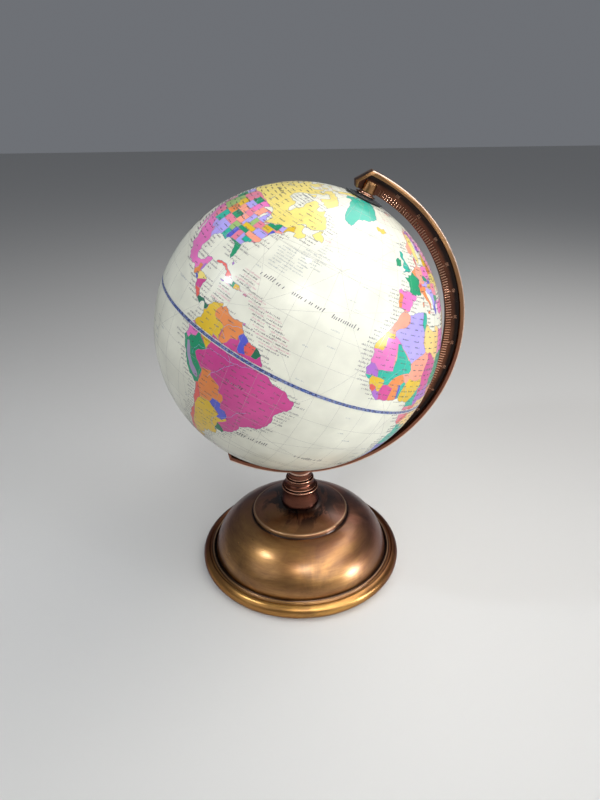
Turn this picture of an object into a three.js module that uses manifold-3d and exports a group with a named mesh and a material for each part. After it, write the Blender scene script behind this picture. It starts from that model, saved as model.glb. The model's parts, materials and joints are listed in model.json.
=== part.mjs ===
// A desktop globe on its stand: a hollow two-part ball that spins on a tilted axis,
// carried by a half-circle meridian arm on a turned neck and a weighted spun-metal base.
//
// Millimetres, +Z up. The origin is where the neck's axis meets the table, under the middle of
// the base. The polar axis leans towards +X, so the arm lies in the XZ plane.

import * as THREE from "three";
import { mergeVertices } from "three/addons/utils/BufferGeometryUtils.js";
import Module from "manifold-3d";

// ---------------------------------------------------------------- driving dimensions

const GAP = 0.3; // clearance kept between pieces that touch
const BALL_R = 100; // printed surface of the ball
const WALL = 1.5; // moulded wall of the two hemispheres
const TILT = THREE.MathUtils.degToRad(26); // lean of the polar axis from the vertical

const ARM_INNER_R = 104.5; // inner edge of the meridian arm, from the ball's centre
const ARM_OUTER_R = 117.2; // outer face of its rim
const ARM_RIM = 3; // thickness of the rim along the outer edge
const ARM_WEB = 3; // thickness of the flat plate that carries the scale
const ARM_DEPTH = 11; // width of the rim across the arm
const ARM_FOOT_H = 0.7; // flat pad under the arm, below its rim

const BASE_R = 81; // outside of the rolled rim
const DOME_R = 70.6; // foot of the dome, inside the rim
const STEP_R = 38.4; // edge of the raised crown
const CROWN_Z = 52; // top of the base, where the neck stands
const SHEET = 1.3; // thickness of the spun sheet metal

const PAD_R = 73; // felt pad
const PAD_T = 1.5;
const PLATE_R = 72; // fibreboard disc over the underside
const PLATE_T = 2.5;
const BALLAST_R = 50;

const CUP_H = 15.5; // heights of the three turned pieces of the neck
const RING_H = 7.5;
const COLLAR_H = 4.6;

const ROD_R = 3; // M6 tie rod
const PIN_R = 2; // pivot pins
const DIAL_R = 13; // hour dial round the north pole

// ---------------------------------------------------------------- places worked out from them

const CUP_Z = CROWN_Z + GAP;
const RING_Z = CUP_Z + CUP_H + GAP;
const COLLAR_Z = RING_Z + RING_H + GAP;
const FOOT_Z = COLLAR_Z + COLLAR_H + GAP;
const CENTRE_Z = FOOT_Z + ARM_FOOT_H + ARM_OUTER_R; // centre of the ball
const ROD_BORE = ROD_R + GAP;
const PIN_BORE = PIN_R + GAP;

// Number of facets round a turned piece, by its size.
const ROUND_LARGE = 48;
const ROUND_SMALL = 24;

// ---------------------------------------------------------------- materials

const finish = (color, roughness, metalness) =>
  new THREE.MeshStandardMaterial({ color, roughness, metalness });
const bronze = finish(0x7d5733, 0.34, 1);
const copper = finish(0x7a4632, 0.36, 1);
const brass = finish(0xb08d4f, 0.3, 1);
const steel = finish(0x9a9ca0, 0.35, 1);
const castIron = finish(0x3a3a3c, 0.7, 1);
const printedPlastic = finish(0xe6e9df, 0.22, 0);
const darkPlastic = finish(0x2b2a2c, 0.4, 0);
const whitePlastic = finish(0xd9d9d4, 0.5, 0);
const tapeBlue = finish(0x2f49a8, 0.3, 0);
const felt = finish(0x1f1f22, 1, 0);
const board = finish(0x8a6a45, 0.9, 0);

// ---------------------------------------------------------------- shape helpers

// Points along a circular arc in a profile, from angle a to angle b in degrees.
function arc(cx, cy, radius, a, b, steps) {
  const points = [];
  for (let i = 0; i <= steps; i++) {
    const t = THREE.MathUtils.degToRad(a + ((b - a) * i) / steps);
    points.push([cx + radius * Math.cos(t), cy + radius * Math.sin(t)]);
  }
  return points;
}

// Points from one point to another that bulge to the left of the way by sag.
function bulge([x0, y0], [x1, y1], sag, steps) {
  const half = Math.hypot(x1 - x0, y1 - y0) / 2;
  const radius = (half * half + sag * sag) / (2 * sag);
  const nx = -(y1 - y0) / (2 * half);
  const ny = (x1 - x0) / (2 * half);
  const cx = (x0 + x1) / 2 - nx * (radius - sag);
  const cy = (y0 + y1) / 2 - ny * (radius - sag);
  const start = Math.atan2((y0 - cy) / radius, (x0 - cx) / radius);
  const turn = -2 * Math.asin(half / radius);
  const points = [];
  for (let i = 0; i <= steps; i++) {
    const t = start + (turn * i) / steps;
    points.push([cx + radius * Math.cos(t), cy + radius * Math.sin(t)]);
  }
  return points;
}

// A solid turned about Z from a closed profile of [radius, height] pairs.
function turned(profile, facets) {
  const points = profile.map(([r, z]) => new THREE.Vector2(r, z));
  if (THREE.ShapeUtils.area(points) < 0) points.reverse();
  points.push(points[0].clone());
  return new THREE.LatheGeometry(points, facets).rotateX(Math.PI / 2);
}

// A turned tube or washer from height z0 to z1.
const tube = (inner, outer, z0, z1, facets) =>
  turned([[inner, z0], [outer, z0], [outer, z1], [inner, z1]], facets);

// A solid cylinder standing from height z0 to z1.
const rod = (radius, z0, z1, facets) =>
  new THREE.CylinderGeometry(radius, radius, z1 - z0, facets)
    .rotateX(Math.PI / 2)
    .translate(0, 0, (z0 + z1) / 2);

// A flat shape of the XZ plane, given thickness along Y and centred on Y = 0.
const plate = (shape, thickness, curveSegments) =>
  new THREE.ExtrudeGeometry(shape, { depth: thickness, bevelEnabled: false, curveSegments })
    .translate(0, 0, -thickness / 2)
    .rotateX(Math.PI / 2);

// ---------------------------------------------------------------- booleans

const wasm = await Module();
wasm.setup();

function solid(geometry) {
  const flat = geometry.index ? geometry.toNonIndexed() : geometry;
  const bare = new THREE.BufferGeometry().setAttribute("position", flat.getAttribute("position"));
  const merged = mergeVertices(bare, 1e-3);
  return new wasm.Manifold(
    new wasm.Mesh({
      numProp: 3,
      vertProperties: merged.attributes.position.array,
      triVerts: new Uint32Array(merged.index.array),
    }),
  );
}

function geometryOf(manifold) {
  const { vertProperties, triVerts } = manifold.getMesh();
  const geometry = new THREE.BufferGeometry()
    .setAttribute("position", new THREE.BufferAttribute(vertProperties, 3))
    .setIndex(new THREE.BufferAttribute(triVerts, 1));
  geometry.computeVertexNormals();
  return geometry;
}

// ---------------------------------------------------------------- the base

// The spun bell: rolled rim, thin lip, dome, and a crown raised by a small step.
function baseShell() {
  const rimFoot = 0.8;
  const domeFoot = 11;
  const stepZ = 43;
  const outer = [
    [74.5, rimFoot],
    ...arc(BASE_R - 5.6, 6.4, 5.6, -82, 78, 6), // rolled rim
    [75.4, 10.9],
    [74.2, 11],
    ...arc(72.9, 11.3, 0.9, 20, 150, 3), // thin lip beside the rim
    [71.4, 10.3],
    ...bulge([DOME_R, domeFoot], [STEP_R + 1.2, stepZ], -7, 8), // dome
    [STEP_R + 0.4, stepZ - 0.3],
    [STEP_R, stepZ + 0.3],
    ...arc(STEP_R - 1.2, stepZ + 1.9, 1.2, 0, 75, 2), // rolled edge of the crown
    ...bulge([35.5, 46.7], [16.5, CROWN_Z - 0.6], -0.8, 3),
    [15.5, CROWN_Z],
    [ROD_BORE + 2, CROWN_Z],
  ];
  const inner = [
    [ROD_BORE + 2, CROWN_Z - SHEET],
    [16.2, CROWN_Z - SHEET - 0.6],
    [35, 46.8 - SHEET - 0.3],
    [36.6, stepZ + 0.4],
    [37.2, stepZ - SHEET - 0.6],
    ...bulge([STEP_R + 0.6, stepZ - SHEET - 0.7], [DOME_R - SHEET, domeFoot - 0.4], 7, 5),
    [70.4, 8.8],
    [75.6, 8.9],
    ...arc(BASE_R - 5.6, 6.4, 5.6 - SHEET, 40, -82, 3),
    [74.5, rimFoot + SHEET],
  ];
  return turned([...outer, ...inner], ROUND_LARGE);
}

// A cast weight: a broad disc with a hub that reaches the underside of the crown.
function ballast() {
  const nutRecess = 12;
  return turned(
    [
      [nutRecess, 6.5],
      [BALLAST_R, 6.5],
      [BALLAST_R, 12],
      [BALLAST_R - 2.5, 14],
      [18, 15.5],
      [12, 22],
      [10, CROWN_Z - SHEET - 0.9],
      [ROD_BORE, CROWN_Z - SHEET - 0.9],
      [ROD_BORE, nutRecess],
      [nutRecess, nutRecess],
    ],
    36,
  );
}

// A hexagon nut, ten millimetres across its flats.
function nut(z0, height) {
  const acrossCorners = 10 / Math.cos(Math.PI / 6);
  const hexagon = solid(rod(acrossCorners / 2, z0, z0 + height, 6));
  return geometryOf(hexagon.subtract(solid(rod(ROD_BORE, z0 - 1, z0 + height + 1, ROUND_SMALL))));
}

// ---------------------------------------------------------------- the neck

const neckCup = () =>
  turned(
    [
      [ROD_BORE, CUP_Z],
      [13.6, CUP_Z],
      ...arc(13.8, CUP_Z + 1.6, 1.6, -90, 0, 4),
      ...bulge([15.1, CUP_Z + 3.4], [14, CUP_Z + CUP_H - 2.2], 0.35, 4),
      ...arc(13.5, CUP_Z + CUP_H - 1, 0.95, -50, 90, 4),
      [ROD_BORE, CUP_Z + CUP_H],
    ],
    32,
  );

const neckRing = () =>
  turned(
    [
      [ROD_BORE, RING_Z],
      [12.7, RING_Z],
      [13.1, RING_Z + 0.8],
      ...bulge([12.6, RING_Z + 1.6], [10.6, RING_Z + RING_H - 1.8], 0.7, 4),
      ...arc(10.3, RING_Z + RING_H - 0.8, 0.8, -50, 90, 3),
      [ROD_BORE, RING_Z + RING_H],
    ],
    32,
  );

const neckCollar = () =>
  turned(
    [
      [ROD_BORE, COLLAR_Z],
      [9.5, COLLAR_Z],
      [9.9, COLLAR_Z + 0.4],
      [9.9, COLLAR_Z + 1.1],
      [9.3, COLLAR_Z + 1.6],
      [9.3, COLLAR_Z + COLLAR_H],
      [ROD_BORE, COLLAR_Z + COLLAR_H],
    ],
    32,
  );

// ---------------------------------------------------------------- the meridian arm

// The arm and the ball are made in a frame of their own: the ball's centre is the origin,
// +Z is the polar axis and +X points to the arm.

const BOSS_R = 4.6; // socket of each pivot pin
const BOSS_FOOT = BALL_R + 3.6; // its face, towards the ball
const BOSS_TOP = BOSS_FOOT + 6.8;
const BORE_TOP = BOSS_TOP - 1.5;
const NADIR = Math.PI - TILT; // direction of the neck, as a turn about +Y from the polar axis

// The outline of the arm's end beyond the pole, going from the rim in towards the ball.
// side is 1 at the north pole and -1 at the south, and inset moves the line into the arm.
function armEnd(side, inset) {
  return [
    [-3, side * ARM_OUTER_R],
    [-10.5 + 1.17 * inset, side * (BOSS_FOOT + 3.7)],
    [-8.5 + inset, side * (BOSS_FOOT - 1.7 * inset)],
  ];
}

// The whole side view of the arm, or with an inset the pocket that its rim goes round.
function armOutline(inset, innerR) {
  const rimR = ARM_OUTER_R - (inset ? ARM_RIM : 0);
  const north = armEnd(1, inset);
  const south = armEnd(-1, inset).reverse();
  const footAngle = Math.acos(5.5 / innerR);
  const shape = new THREE.Shape();
  const startAngle = Math.atan2(Math.sqrt(rimR ** 2 - north[0][0] ** 2), north[0][0]);
  shape.absarc(0, 0, rimR, -startAngle, startAngle, false);
  for (const [x, z] of north.slice(1)) shape.lineTo(x, z);
  if (!inset) shape.lineTo(5.5, BOSS_FOOT);
  shape.absarc(0, 0, innerR, footAngle, -footAngle, true);
  if (!inset) shape.lineTo(5.5, -BOSS_FOOT);
  for (const [x, z] of south.slice(0, -1)) shape.lineTo(x, z);
  shape.closePath();
  return shape;
}

// A plate with a rim along its outer edge and round both ends, a socket at each pole,
// and a pad with a blind hole where the neck meets it.
function meridianArm() {
  const arcSegments = 32;
  const wallInset = 1.8;
  const body = solid(plate(armOutline(0, ARM_INNER_R), ARM_DEPTH, arcSegments));
  const pocketDepth = (ARM_DEPTH - ARM_WEB) / 2;
  const pocket = plate(armOutline(wallInset, 92), pocketDepth, arcSegments);
  const pocketY = (ARM_WEB + pocketDepth) / 2;
  const front = solid(pocket.clone().translate(0, -pocketY - 0.001, 0));
  const back = solid(pocket.clone().translate(0, pocketY + 0.001, 0));
  let arm = body.subtract(front).subtract(back);

  for (const side of [1, -1]) {
    const turn = side > 0 ? 0 : Math.PI;
    const boss = rod(BOSS_R, BOSS_FOOT, BOSS_TOP, ROUND_SMALL).rotateX(turn);
    const bore = rod(PIN_BORE, BOSS_FOOT - 1, BORE_TOP, ROUND_SMALL).rotateX(turn);
    arm = arm.add(solid(boss)).subtract(solid(bore));
  }

  // Seen from the ball's centre the neck is straight down; turning about Y brings it there.
  const lowest = ARM_OUTER_R + ARM_FOOT_H;
  const down = (geometry) => solid(geometry.rotateY(NADIR));
  arm = arm
    .add(down(rod(9.1, ARM_OUTER_R - ARM_RIM, lowest, ROUND_SMALL)))
    .add(down(rod(6.6, ARM_INNER_R, lowest - 1, ROUND_SMALL)))
    .subtract(down(rod(INSERT_R + GAP, ARM_INNER_R + 1.5, lowest + 1, ROUND_SMALL)));
  return geometryOf(arm);
}

// The threaded brass insert in that hole takes the top of the tie rod.
const INSERT_R = 4.2;
const insertTop = CENTRE_Z - ARM_INNER_R - 1.5 - GAP;
const armInsert = () => tube(ROD_BORE, INSERT_R, FOOT_Z, insertTop, ROUND_SMALL);

// ---------------------------------------------------------------- pivots and the ball

// The sleeve and pin are held by the arm; the hub turns round the pin with the ball.
const HUB_TOP = BALL_R + 1.4;
const SLEEVE_FOOT = HUB_TOP + GAP;
const POLE_HOLE_R = 6.3;

const pivotPin = () => rod(PIN_R, BALL_R - 10, BORE_TOP - GAP, ROUND_SMALL);

// Its flange keeps the dial down.
const pivotSleeve = () =>
  turned(
    [
      [PIN_BORE, SLEEVE_FOOT],
      [POLE_HOLE_R + 0.6, SLEEVE_FOOT],
      [POLE_HOLE_R + 0.6, SLEEVE_FOOT + 0.6],
      [5, SLEEVE_FOOT + 0.9],
      [5, BOSS_FOOT - GAP],
      [PIN_BORE, BOSS_FOOT - GAP],
    ],
    ROUND_SMALL,
  );

const hub = () =>
  turned(
    [
      [PIN_BORE + GAP, 88],
      [5, 88],
      [5, 95.5],
      [9, 95.5],
      [9, 97.6],
      [POLE_HOLE_R - 0.4, 97.6],
      [POLE_HOLE_R - 0.4, HUB_TOP],
      [PIN_BORE + GAP, HUB_TOP],
    ],
    ROUND_SMALL,
  );

// A half of the ball, pole up, rebated at its edge for the equator tape.
const TAPE_HALF_WIDTH = 1.2;
function hemisphere() {
  const inside = BALL_R - WALL;
  const seam = GAP / 2;
  const rebateZ = TAPE_HALF_WIDTH + GAP;
  const degrees = (r, z) => THREE.MathUtils.radToDeg(Math.atan2(z, r));
  const onSphere = (radius, r) => Math.sqrt(radius ** 2 - r ** 2);
  return turned(
    [
      [BALL_R - 0.8, seam],
      [BALL_R - 0.8, rebateZ],
      ...arc(
        0, 0, BALL_R,
        degrees(onSphere(BALL_R, rebateZ), rebateZ),
        degrees(POLE_HOLE_R, onSphere(BALL_R, POLE_HOLE_R)),
        12,
      ),
      ...arc(
        0, 0, inside,
        degrees(POLE_HOLE_R, onSphere(inside, POLE_HOLE_R)),
        degrees(onSphere(inside, seam), seam),
        9,
      ),
    ],
    ROUND_LARGE,
  );
}

// A domed dial that lies close over the north pole.
function hourDial() {
  const angleAt = (r) => THREE.MathUtils.radToDeg(Math.acos(r / BALL_R));
  const hole = angleAt(POLE_HOLE_R);
  const edge = angleAt(DIAL_R);
  return turned(
    [
      ...arc(0, 0, BALL_R + 0.4, edge, hole, 3),
      ...arc(0, 0, BALL_R + 1.2, hole, edge, 3),
    ],
    36,
  );
}

const equatorTape = () =>
  tube(BALL_R - 0.45, BALL_R, -TAPE_HALF_WIDTH, TAPE_HALF_WIDTH, ROUND_LARGE);
const joiningRing = () => tube(BALL_R - 3.6, BALL_R - WALL - 0.6, -6, 6, ROUND_LARGE);

// ---------------------------------------------------------------- assembly

const globe = new THREE.Group();
const tilted = new THREE.Group();
tilted.position.z = CENTRE_Z;
tilted.rotation.y = TILT;
globe.add(tilted);

function put(parent, name, geometry, material) {
  const mesh = new THREE.Mesh(geometry, material);
  mesh.name = name;
  parent.add(mesh);
  return mesh;
}

// A copy of something made at the north pole, turned over to the south pole.
function putSouth(name, geometry, material) {
  put(tilted, name, geometry, material).rotation.x = Math.PI;
}

const plateZ = PAD_T + GAP;
const nutZ = 3.3;
const nutH = 5;
const lockZ = nutZ + nutH + GAP;
const washerZ = 12 - GAP - 1.5;
put(globe, "felt_pad", rod(PAD_R, 0, PAD_T, ROUND_LARGE), felt);
put(globe, "bottom_plate", tube(14, PLATE_R, plateZ, plateZ + PLATE_T, ROUND_LARGE), board);
put(globe, "base_shell", baseShell(), bronze);
put(globe, "ballast_weight", ballast(), castIron);
put(globe, "rod_nut", nut(nutZ, nutH), steel);
put(globe, "lock_washer", tube(ROD_BORE, 5.2, lockZ, washerZ - GAP, ROUND_SMALL), steel);
put(globe, "flat_washer", tube(ROD_BORE, 8, washerZ, washerZ + 1.5, ROUND_SMALL), steel);
put(globe, "tie_rod", rod(ROD_R, PAD_T + 1, insertTop - 1, ROUND_SMALL), steel);

put(globe, "neck_cup", neckCup(), copper);
put(globe, "neck_ring", neckRing(), copper);
put(globe, "neck_collar", neckCollar(), copper);
put(globe, "arm_insert", armInsert(), brass);
put(tilted, "meridian_arm", meridianArm(), copper);

put(tilted, "north_pivot_pin", pivotPin(), steel);
put(tilted, "north_pivot_sleeve", pivotSleeve(), copper);
put(tilted, "north_hub", hub(), darkPlastic);
put(tilted, "hour_dial", hourDial(), darkPlastic);
put(tilted, "north_hemisphere", hemisphere(), printedPlastic);
put(tilted, "equator_tape", equatorTape(), tapeBlue);
put(tilted, "joining_ring", joiningRing(), whitePlastic);
putSouth("south_hemisphere", hemisphere(), printedPlastic);
putSouth("south_hub", hub(), darkPlastic);
putSouth("south_pivot_sleeve", pivotSleeve(), copper);
putSouth("south_pivot_pin", pivotPin(), steel);

export default globe;
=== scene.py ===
"""Looks for the desktop globe: a printed map on the ball, and antique bronze and copper on the stand.

The ball's map is drawn from short listed outlines. The outlines are cut into the two
hemispheres as faces, so that every coast and border is a crisp edge of the mesh.
"""

import json
import math
import random

import bmesh
import bpy
import numpy as np
from mathutils import Matrix, Vector
from mathutils.geometry import delaunay_2d_cdt


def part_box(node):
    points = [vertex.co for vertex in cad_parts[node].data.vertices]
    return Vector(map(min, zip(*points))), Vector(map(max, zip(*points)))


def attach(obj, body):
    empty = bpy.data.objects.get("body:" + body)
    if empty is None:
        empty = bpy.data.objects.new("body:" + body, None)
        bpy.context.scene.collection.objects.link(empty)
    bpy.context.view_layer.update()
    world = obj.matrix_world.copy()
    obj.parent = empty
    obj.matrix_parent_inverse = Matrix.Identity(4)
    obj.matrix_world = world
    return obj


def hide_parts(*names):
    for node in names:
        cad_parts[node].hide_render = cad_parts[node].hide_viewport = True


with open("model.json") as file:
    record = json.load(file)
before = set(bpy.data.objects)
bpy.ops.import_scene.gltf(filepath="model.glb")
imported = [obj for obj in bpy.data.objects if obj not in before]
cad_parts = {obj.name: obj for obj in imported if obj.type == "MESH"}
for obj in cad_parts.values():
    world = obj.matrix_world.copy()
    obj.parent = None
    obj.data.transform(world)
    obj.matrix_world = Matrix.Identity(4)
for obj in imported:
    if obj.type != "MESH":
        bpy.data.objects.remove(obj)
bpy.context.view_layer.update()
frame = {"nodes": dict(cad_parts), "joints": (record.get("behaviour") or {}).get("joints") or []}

random.seed(7)
MM = 0.001

# ---------------------------------------------------------------- places, from the frame

SPIN = next(j for j in frame["joints"] if j["name"] == "globe_spin")
CENTRE = Vector(SPIN["pos_m"])
AXIS = Vector(SPIN["axis"]).normalized()
ACROSS = Vector((0, 1, 0))
ARMWARD = ACROSS.cross(AXIS)
TILT = math.asin(SPIN["axis"][0])  # of the polar axis from the vertical

# Two frames that pieces are made in, both in millimetres: the stand's own, which is the row's,
# and the ball's, with its origin at the ball's centre, +Z at the north pole and +X at the arm.
STAND = Matrix.Scale(MM, 4)
POLAR = Matrix.Translation(CENTRE) @ Matrix((ARMWARD, ACROSS, AXIS)).transposed().to_4x4() @ STAND
SOUTH = POLAR @ Matrix.Rotation(math.pi, 4, "X")

BALL_R = 99.75  # printed surface, just inside the CAD ball
WALL = 1.5  # thickness of the ball's wall
SEAM = 0.15  # half the gap between the hemispheres
REBATE = 1.5  # height of the step that the equator tape lies in
TAPE_HALF = 1.2  # half the width of the equator tape
POLE_HOLE_R = 6.3  # the hole in the ball at each pole
FACING = 55.8  # longitude on the arm's side of the ball as it stands at rest


def corner(node, which, axis):
    """One number of a node's box in millimetres: which is 0 for the low corner, 1 for the high."""
    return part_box(node)[which][axis] / MM


def linked(name, data):
    """A new object in the scene."""
    thing = bpy.data.objects.new(name, data)
    bpy.context.scene.collection.objects.link(thing)
    return thing


def mesh_from(bm, name):
    """A mesh made from a bmesh, which is used up."""
    mesh = bpy.data.meshes.new(name)
    bm.to_mesh(mesh)
    bm.free()
    return mesh

# ---------------------------------------------------------------- the map

# Outlines as longitude,latitude. A name ends in its colour and a colon. The mainlands come
# first, then the countries are painted over them in order, and then the islands. A country may
# reach out to sea, because only its part on land is coloured.

MAINLANDS = """
north_america=yellow: -168,65.6 -163,67 -166.5,68.3 -162,70.2 -156.5,71.3 -150,70.5 -141,69.7
-135,69.3 -129,70 -124,69.5 -115,68.8 -109,68 -101,67.8 -96,68.2 -94,71.8 -90,69.5 -88,68
-85,69.5 -82,69.6 -81.5,67.6 -86,66.5 -87,64.6 -93,62 -94.7,59.5 -92.5,57 -88,56.5 -82.3,55.2
-82.2,53 -80,51.4 -79,52.5 -79,54.6 -76.6,56.5 -78.5,58.8 -77.5,62.3 -73.5,62.3 -70,61
-69.5,58.9 -66,58.8 -64.5,60.3 -62,57.5 -57.5,54.5 -55.7,52.5 -59,50.3 -66,50.2 -69,48.3
-65,49.2 -64.5,47 -61.5,46.6 -61,45.3 -65.7,43.5 -66,45 -70,43.7 -70.8,42.3 -70,41.7 -74,40.6
-74.9,39 -76,37 -75.6,35.2 -79,33.4 -81.3,31.3 -80.1,26.5 -80.5,25.2 -81.8,26.2 -82.8,28.5
-84,30 -86.5,30.4 -89.4,30.2 -89.4,29.1 -91.5,29.4 -94.5,29.6 -97.2,27.8 -97.8,22.5
-96.3,19.3 -94.3,18.2 -92,18.6 -90.6,19.5 -90.2,21.1 -87,21.5 -87.6,19 -88.4,16 -86,15.9
-83.3,15 -83.6,11.2 -82.3,9.2 -79.6,9.6 -77.4,8.6 -76.6,8 -76.8,7 -77.9,7.2 -79,8.9
-80.4,8.2 -80.6,7.3 -82.9,8.2 -83.7,8.5 -85.8,10.1 -87.6,12.9 -91.5,14 -94,16.1 -96.5,15.7
-101.5,17.6 -105.6,20.2 -105.6,22.6 -109.4,25.7 -112.7,29.6 -114.7,31.7 -112.8,28.2
-110.9,25.5 -109.5,23.1 -111.9,25 -114.9,27.8 -115.9,30.3 -117.2,32.6 -120.5,34.4 -122.4,37.3
-124.2,40.4 -124.1,44 -124.6,48.3 -122.7,48.8 -127.5,51 -130.3,54.5 -133.5,57.6 -137.5,58.9
-146,60.7 -151.5,61 -151.8,59.2 -154.5,58.2 -162.5,55.1 -158.5,58.2 -162,58.8 -165.5,61.5
-161,64.3 -166,64.6
south_america=magenta: -77.4,8.6 -75.6,10.6 -74.8,11.1 -71.7,12.3 -71.4,10.9 -70.2,12.1
-68.2,10.7 -65,10.1 -62,10.7 -61.8,9.8 -60.8,8.5 -57.5,6.3 -54,5.8 -51.8,4.4 -50,1.8 -50.2,0
-48.4,-0.9 -44.4,-2.6 -41.5,-2.9 -38.5,-3.8 -35.3,-5.3 -34.8,-8 -37.2,-11 -39,-13.3
-39.2,-17.8 -40.8,-21.4 -42,-23 -45,-23.5 -48.5,-25.8 -48.7,-28.5 -52.2,-32.3 -54.6,-34.9
-57.2,-34.5 -58.4,-34 -57.2,-36 -57.6,-38.1 -62,-38.9 -62.3,-40.8 -65,-41.1 -65.3,-44.5
-67.5,-46 -65.8,-47.9 -69,-50.8 -68.6,-52.5 -65.3,-54.7 -70,-55.2 -74.5,-52 -75.5,-47
-74,-43.5 -73.5,-37 -71.5,-32 -70.5,-25 -70.3,-18.4 -76.2,-13.9 -79.5,-7.8 -81.3,-5 -80.2,-3
-80.8,-1 -79.8,0.9 -77.2,4 -77.9,7.2 -76.8,7 -76.6,8
eurasia=pink: 25.8,71.1 18,69.5 14,67 10.5,64 5,62 5.3,59 8,58 10.6,59.5 11.2,58.8 12.9,55.6
14.3,55.5 16.5,57 17.2,60.3 21.3,64.5 24,65.8 25,64.5 21.3,61.5 22.8,60 28,60.5 30,60
27,59.5 23.5,59.2 24.3,57.5 21.5,57 20.5,54.7 14.2,53.9 11,54 10.8,55.5 10.5,57.6 8.2,56.7
8.8,54 6.8,53.5 4.3,52 1.7,50.8 0.2,49.6 -1.6,49.6 -1.6,48.6 -4.7,48.4 -1.8,46.8 -1.3,44.5
-1.8,43.4 -8,43.7 -9.2,43 -8.8,40.8 -9.5,38.7 -8.9,37 -6.4,36.8 -5.6,36 -2,36.8 -0.3,38.7
0.2,40.3 3.2,42 3.1,43.2 6.5,43.1 8.8,44.4 10.5,42.9 12.3,41.7 15.6,40 16,38 17.1,39
16.9,40.4 18.5,40.2 16,41.6 13.5,43.6 12.4,45 13.6,45.6 15,44.3 19.4,41.9 19.4,40.3
21.3,37.8 22.8,36.5 23.8,38 23,40.3 26,40.8 29,41.2 28,43.4 29.7,45.2 31,46.5 33,46
33.5,44.5 36.5,45.2 35.2,46.3 39,47.2 37.5,45 41.5,41.6 36,41.3 31,41.2 29,41 27,40.4
26.2,39 27.5,37 30.6,36.7 36,36.7 35.5,33.8 34.3,31.4 32.5,31.2 32.5,29.8 34.3,27.8 35,29.5
35.2,28 39,21.5 42.7,16.5 43.4,12.7 45,12.8 52,16 55.2,17.5 59.8,22.5 56.5,24.5 56.3,26.3
54.2,24.2 51.6,24.5 51.3,26 50.2,26.5 48,29.8 50.2,30 52.5,27.6 56.8,27 58,25.6 61.6,25.1
66.7,25 68.5,23.3 70.3,21 72.7,21 72.9,19 74.5,14.5 76.5,9.3 77.6,8.1 79.8,10.5 80.2,13.5
82.3,16.7 86.9,20.8 89,21.8 91.9,22.2 94.3,18.5 94.3,16 97,17 98.5,13 98.3,8.2 100.4,6
101.4,2.9 103.6,1.3 103.4,4.5 100.3,8.4 99.2,10 100.2,13.4 102.5,12.1 104.8,8.7 106.8,10.5
109.3,12.3 108,16 105.8,19 108,21.5 110.3,20.5 113.7,22.2 116.8,23.3 119.6,26 121.9,29.5
120.8,32 119.3,35 122.4,37.2 118.8,37.8 117.8,39.1 121,40.7 121.4,39 124.6,39.8 126.6,37.5
126.4,34.5 129.3,35.4 127.5,39.6 130.7,42.4 135,43.3 140.4,48 141,53 137,54 135.3,54.8
143,59.3 151,59.3 155,59.3 163,62 156.7,57.5 156,51.5 162,55.5 163.3,58.5 170,60 179.5,62.4
181,64.5 190,65.9 180,69 170,69.8 160,69.6 150,71.5 140,72.5 130,71 126,73.2 113,73.7
104.5,77.6 98,76 87,75 80.5,72.3 74,68.5 72.5,71.3 72.8,72.8 69,72.8 66.8,69.2 60.5,69.8
54,68.3 46,68.2 44,66 38,64.3 35,64.2 34,66.6 41,66.5 40,68 32,69.8
africa=salmon: 32.5,31.2 29,30.9 25,31.6 20,32.7 19.8,30.7 15.5,31.5 11,33.6 11,37 5,36.9
-2,35.1 -5.8,35.8 -9.8,31.5 -13,27.8 -17,21 -16.3,19 -17.4,14.7 -16.7,12.4 -13.3,9 -7.6,4.4
-2,4.8 2.5,6.3 5.3,4.6 8.5,4.6 9.7,3.5 9.4,0 9,-1 12,-5.5 13.7,-10.5 11.8,-16 14.5,-22.5
15.3,-27 18.3,-33 20,-34.8 25.7,-33.9 30.5,-30.5 32.8,-27 35.4,-24 35,-20 40.7,-15
40.5,-10.5 39.2,-6.8 39.2,-4.6 42,-1.2 46,2.5 51.2,11.9 44.5,10.4 43.2,11.6 39.5,15.3
37.3,19.5 35.5,24 32.7,29.8
antarctica=ice: -60,-64 -57,-63.3 -61,-68 -61,-74 -75,-77.5 -50,-78 -35,-78.3 -26,-75.5
-11,-71.3 10,-70.2 33,-69 45,-67.8 55,-66 70,-68.5 73,-69.8 80,-67.5 95,-66.3 110,-66
130,-66.2 145,-67 160,-69.5 170,-71.5 164,-77.5 185,-78.3 205,-77.5 215,-75.5 235,-74.5
250,-74 258,-72.3 270,-73 282,-73 292,-69 294,-66
"""

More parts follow.
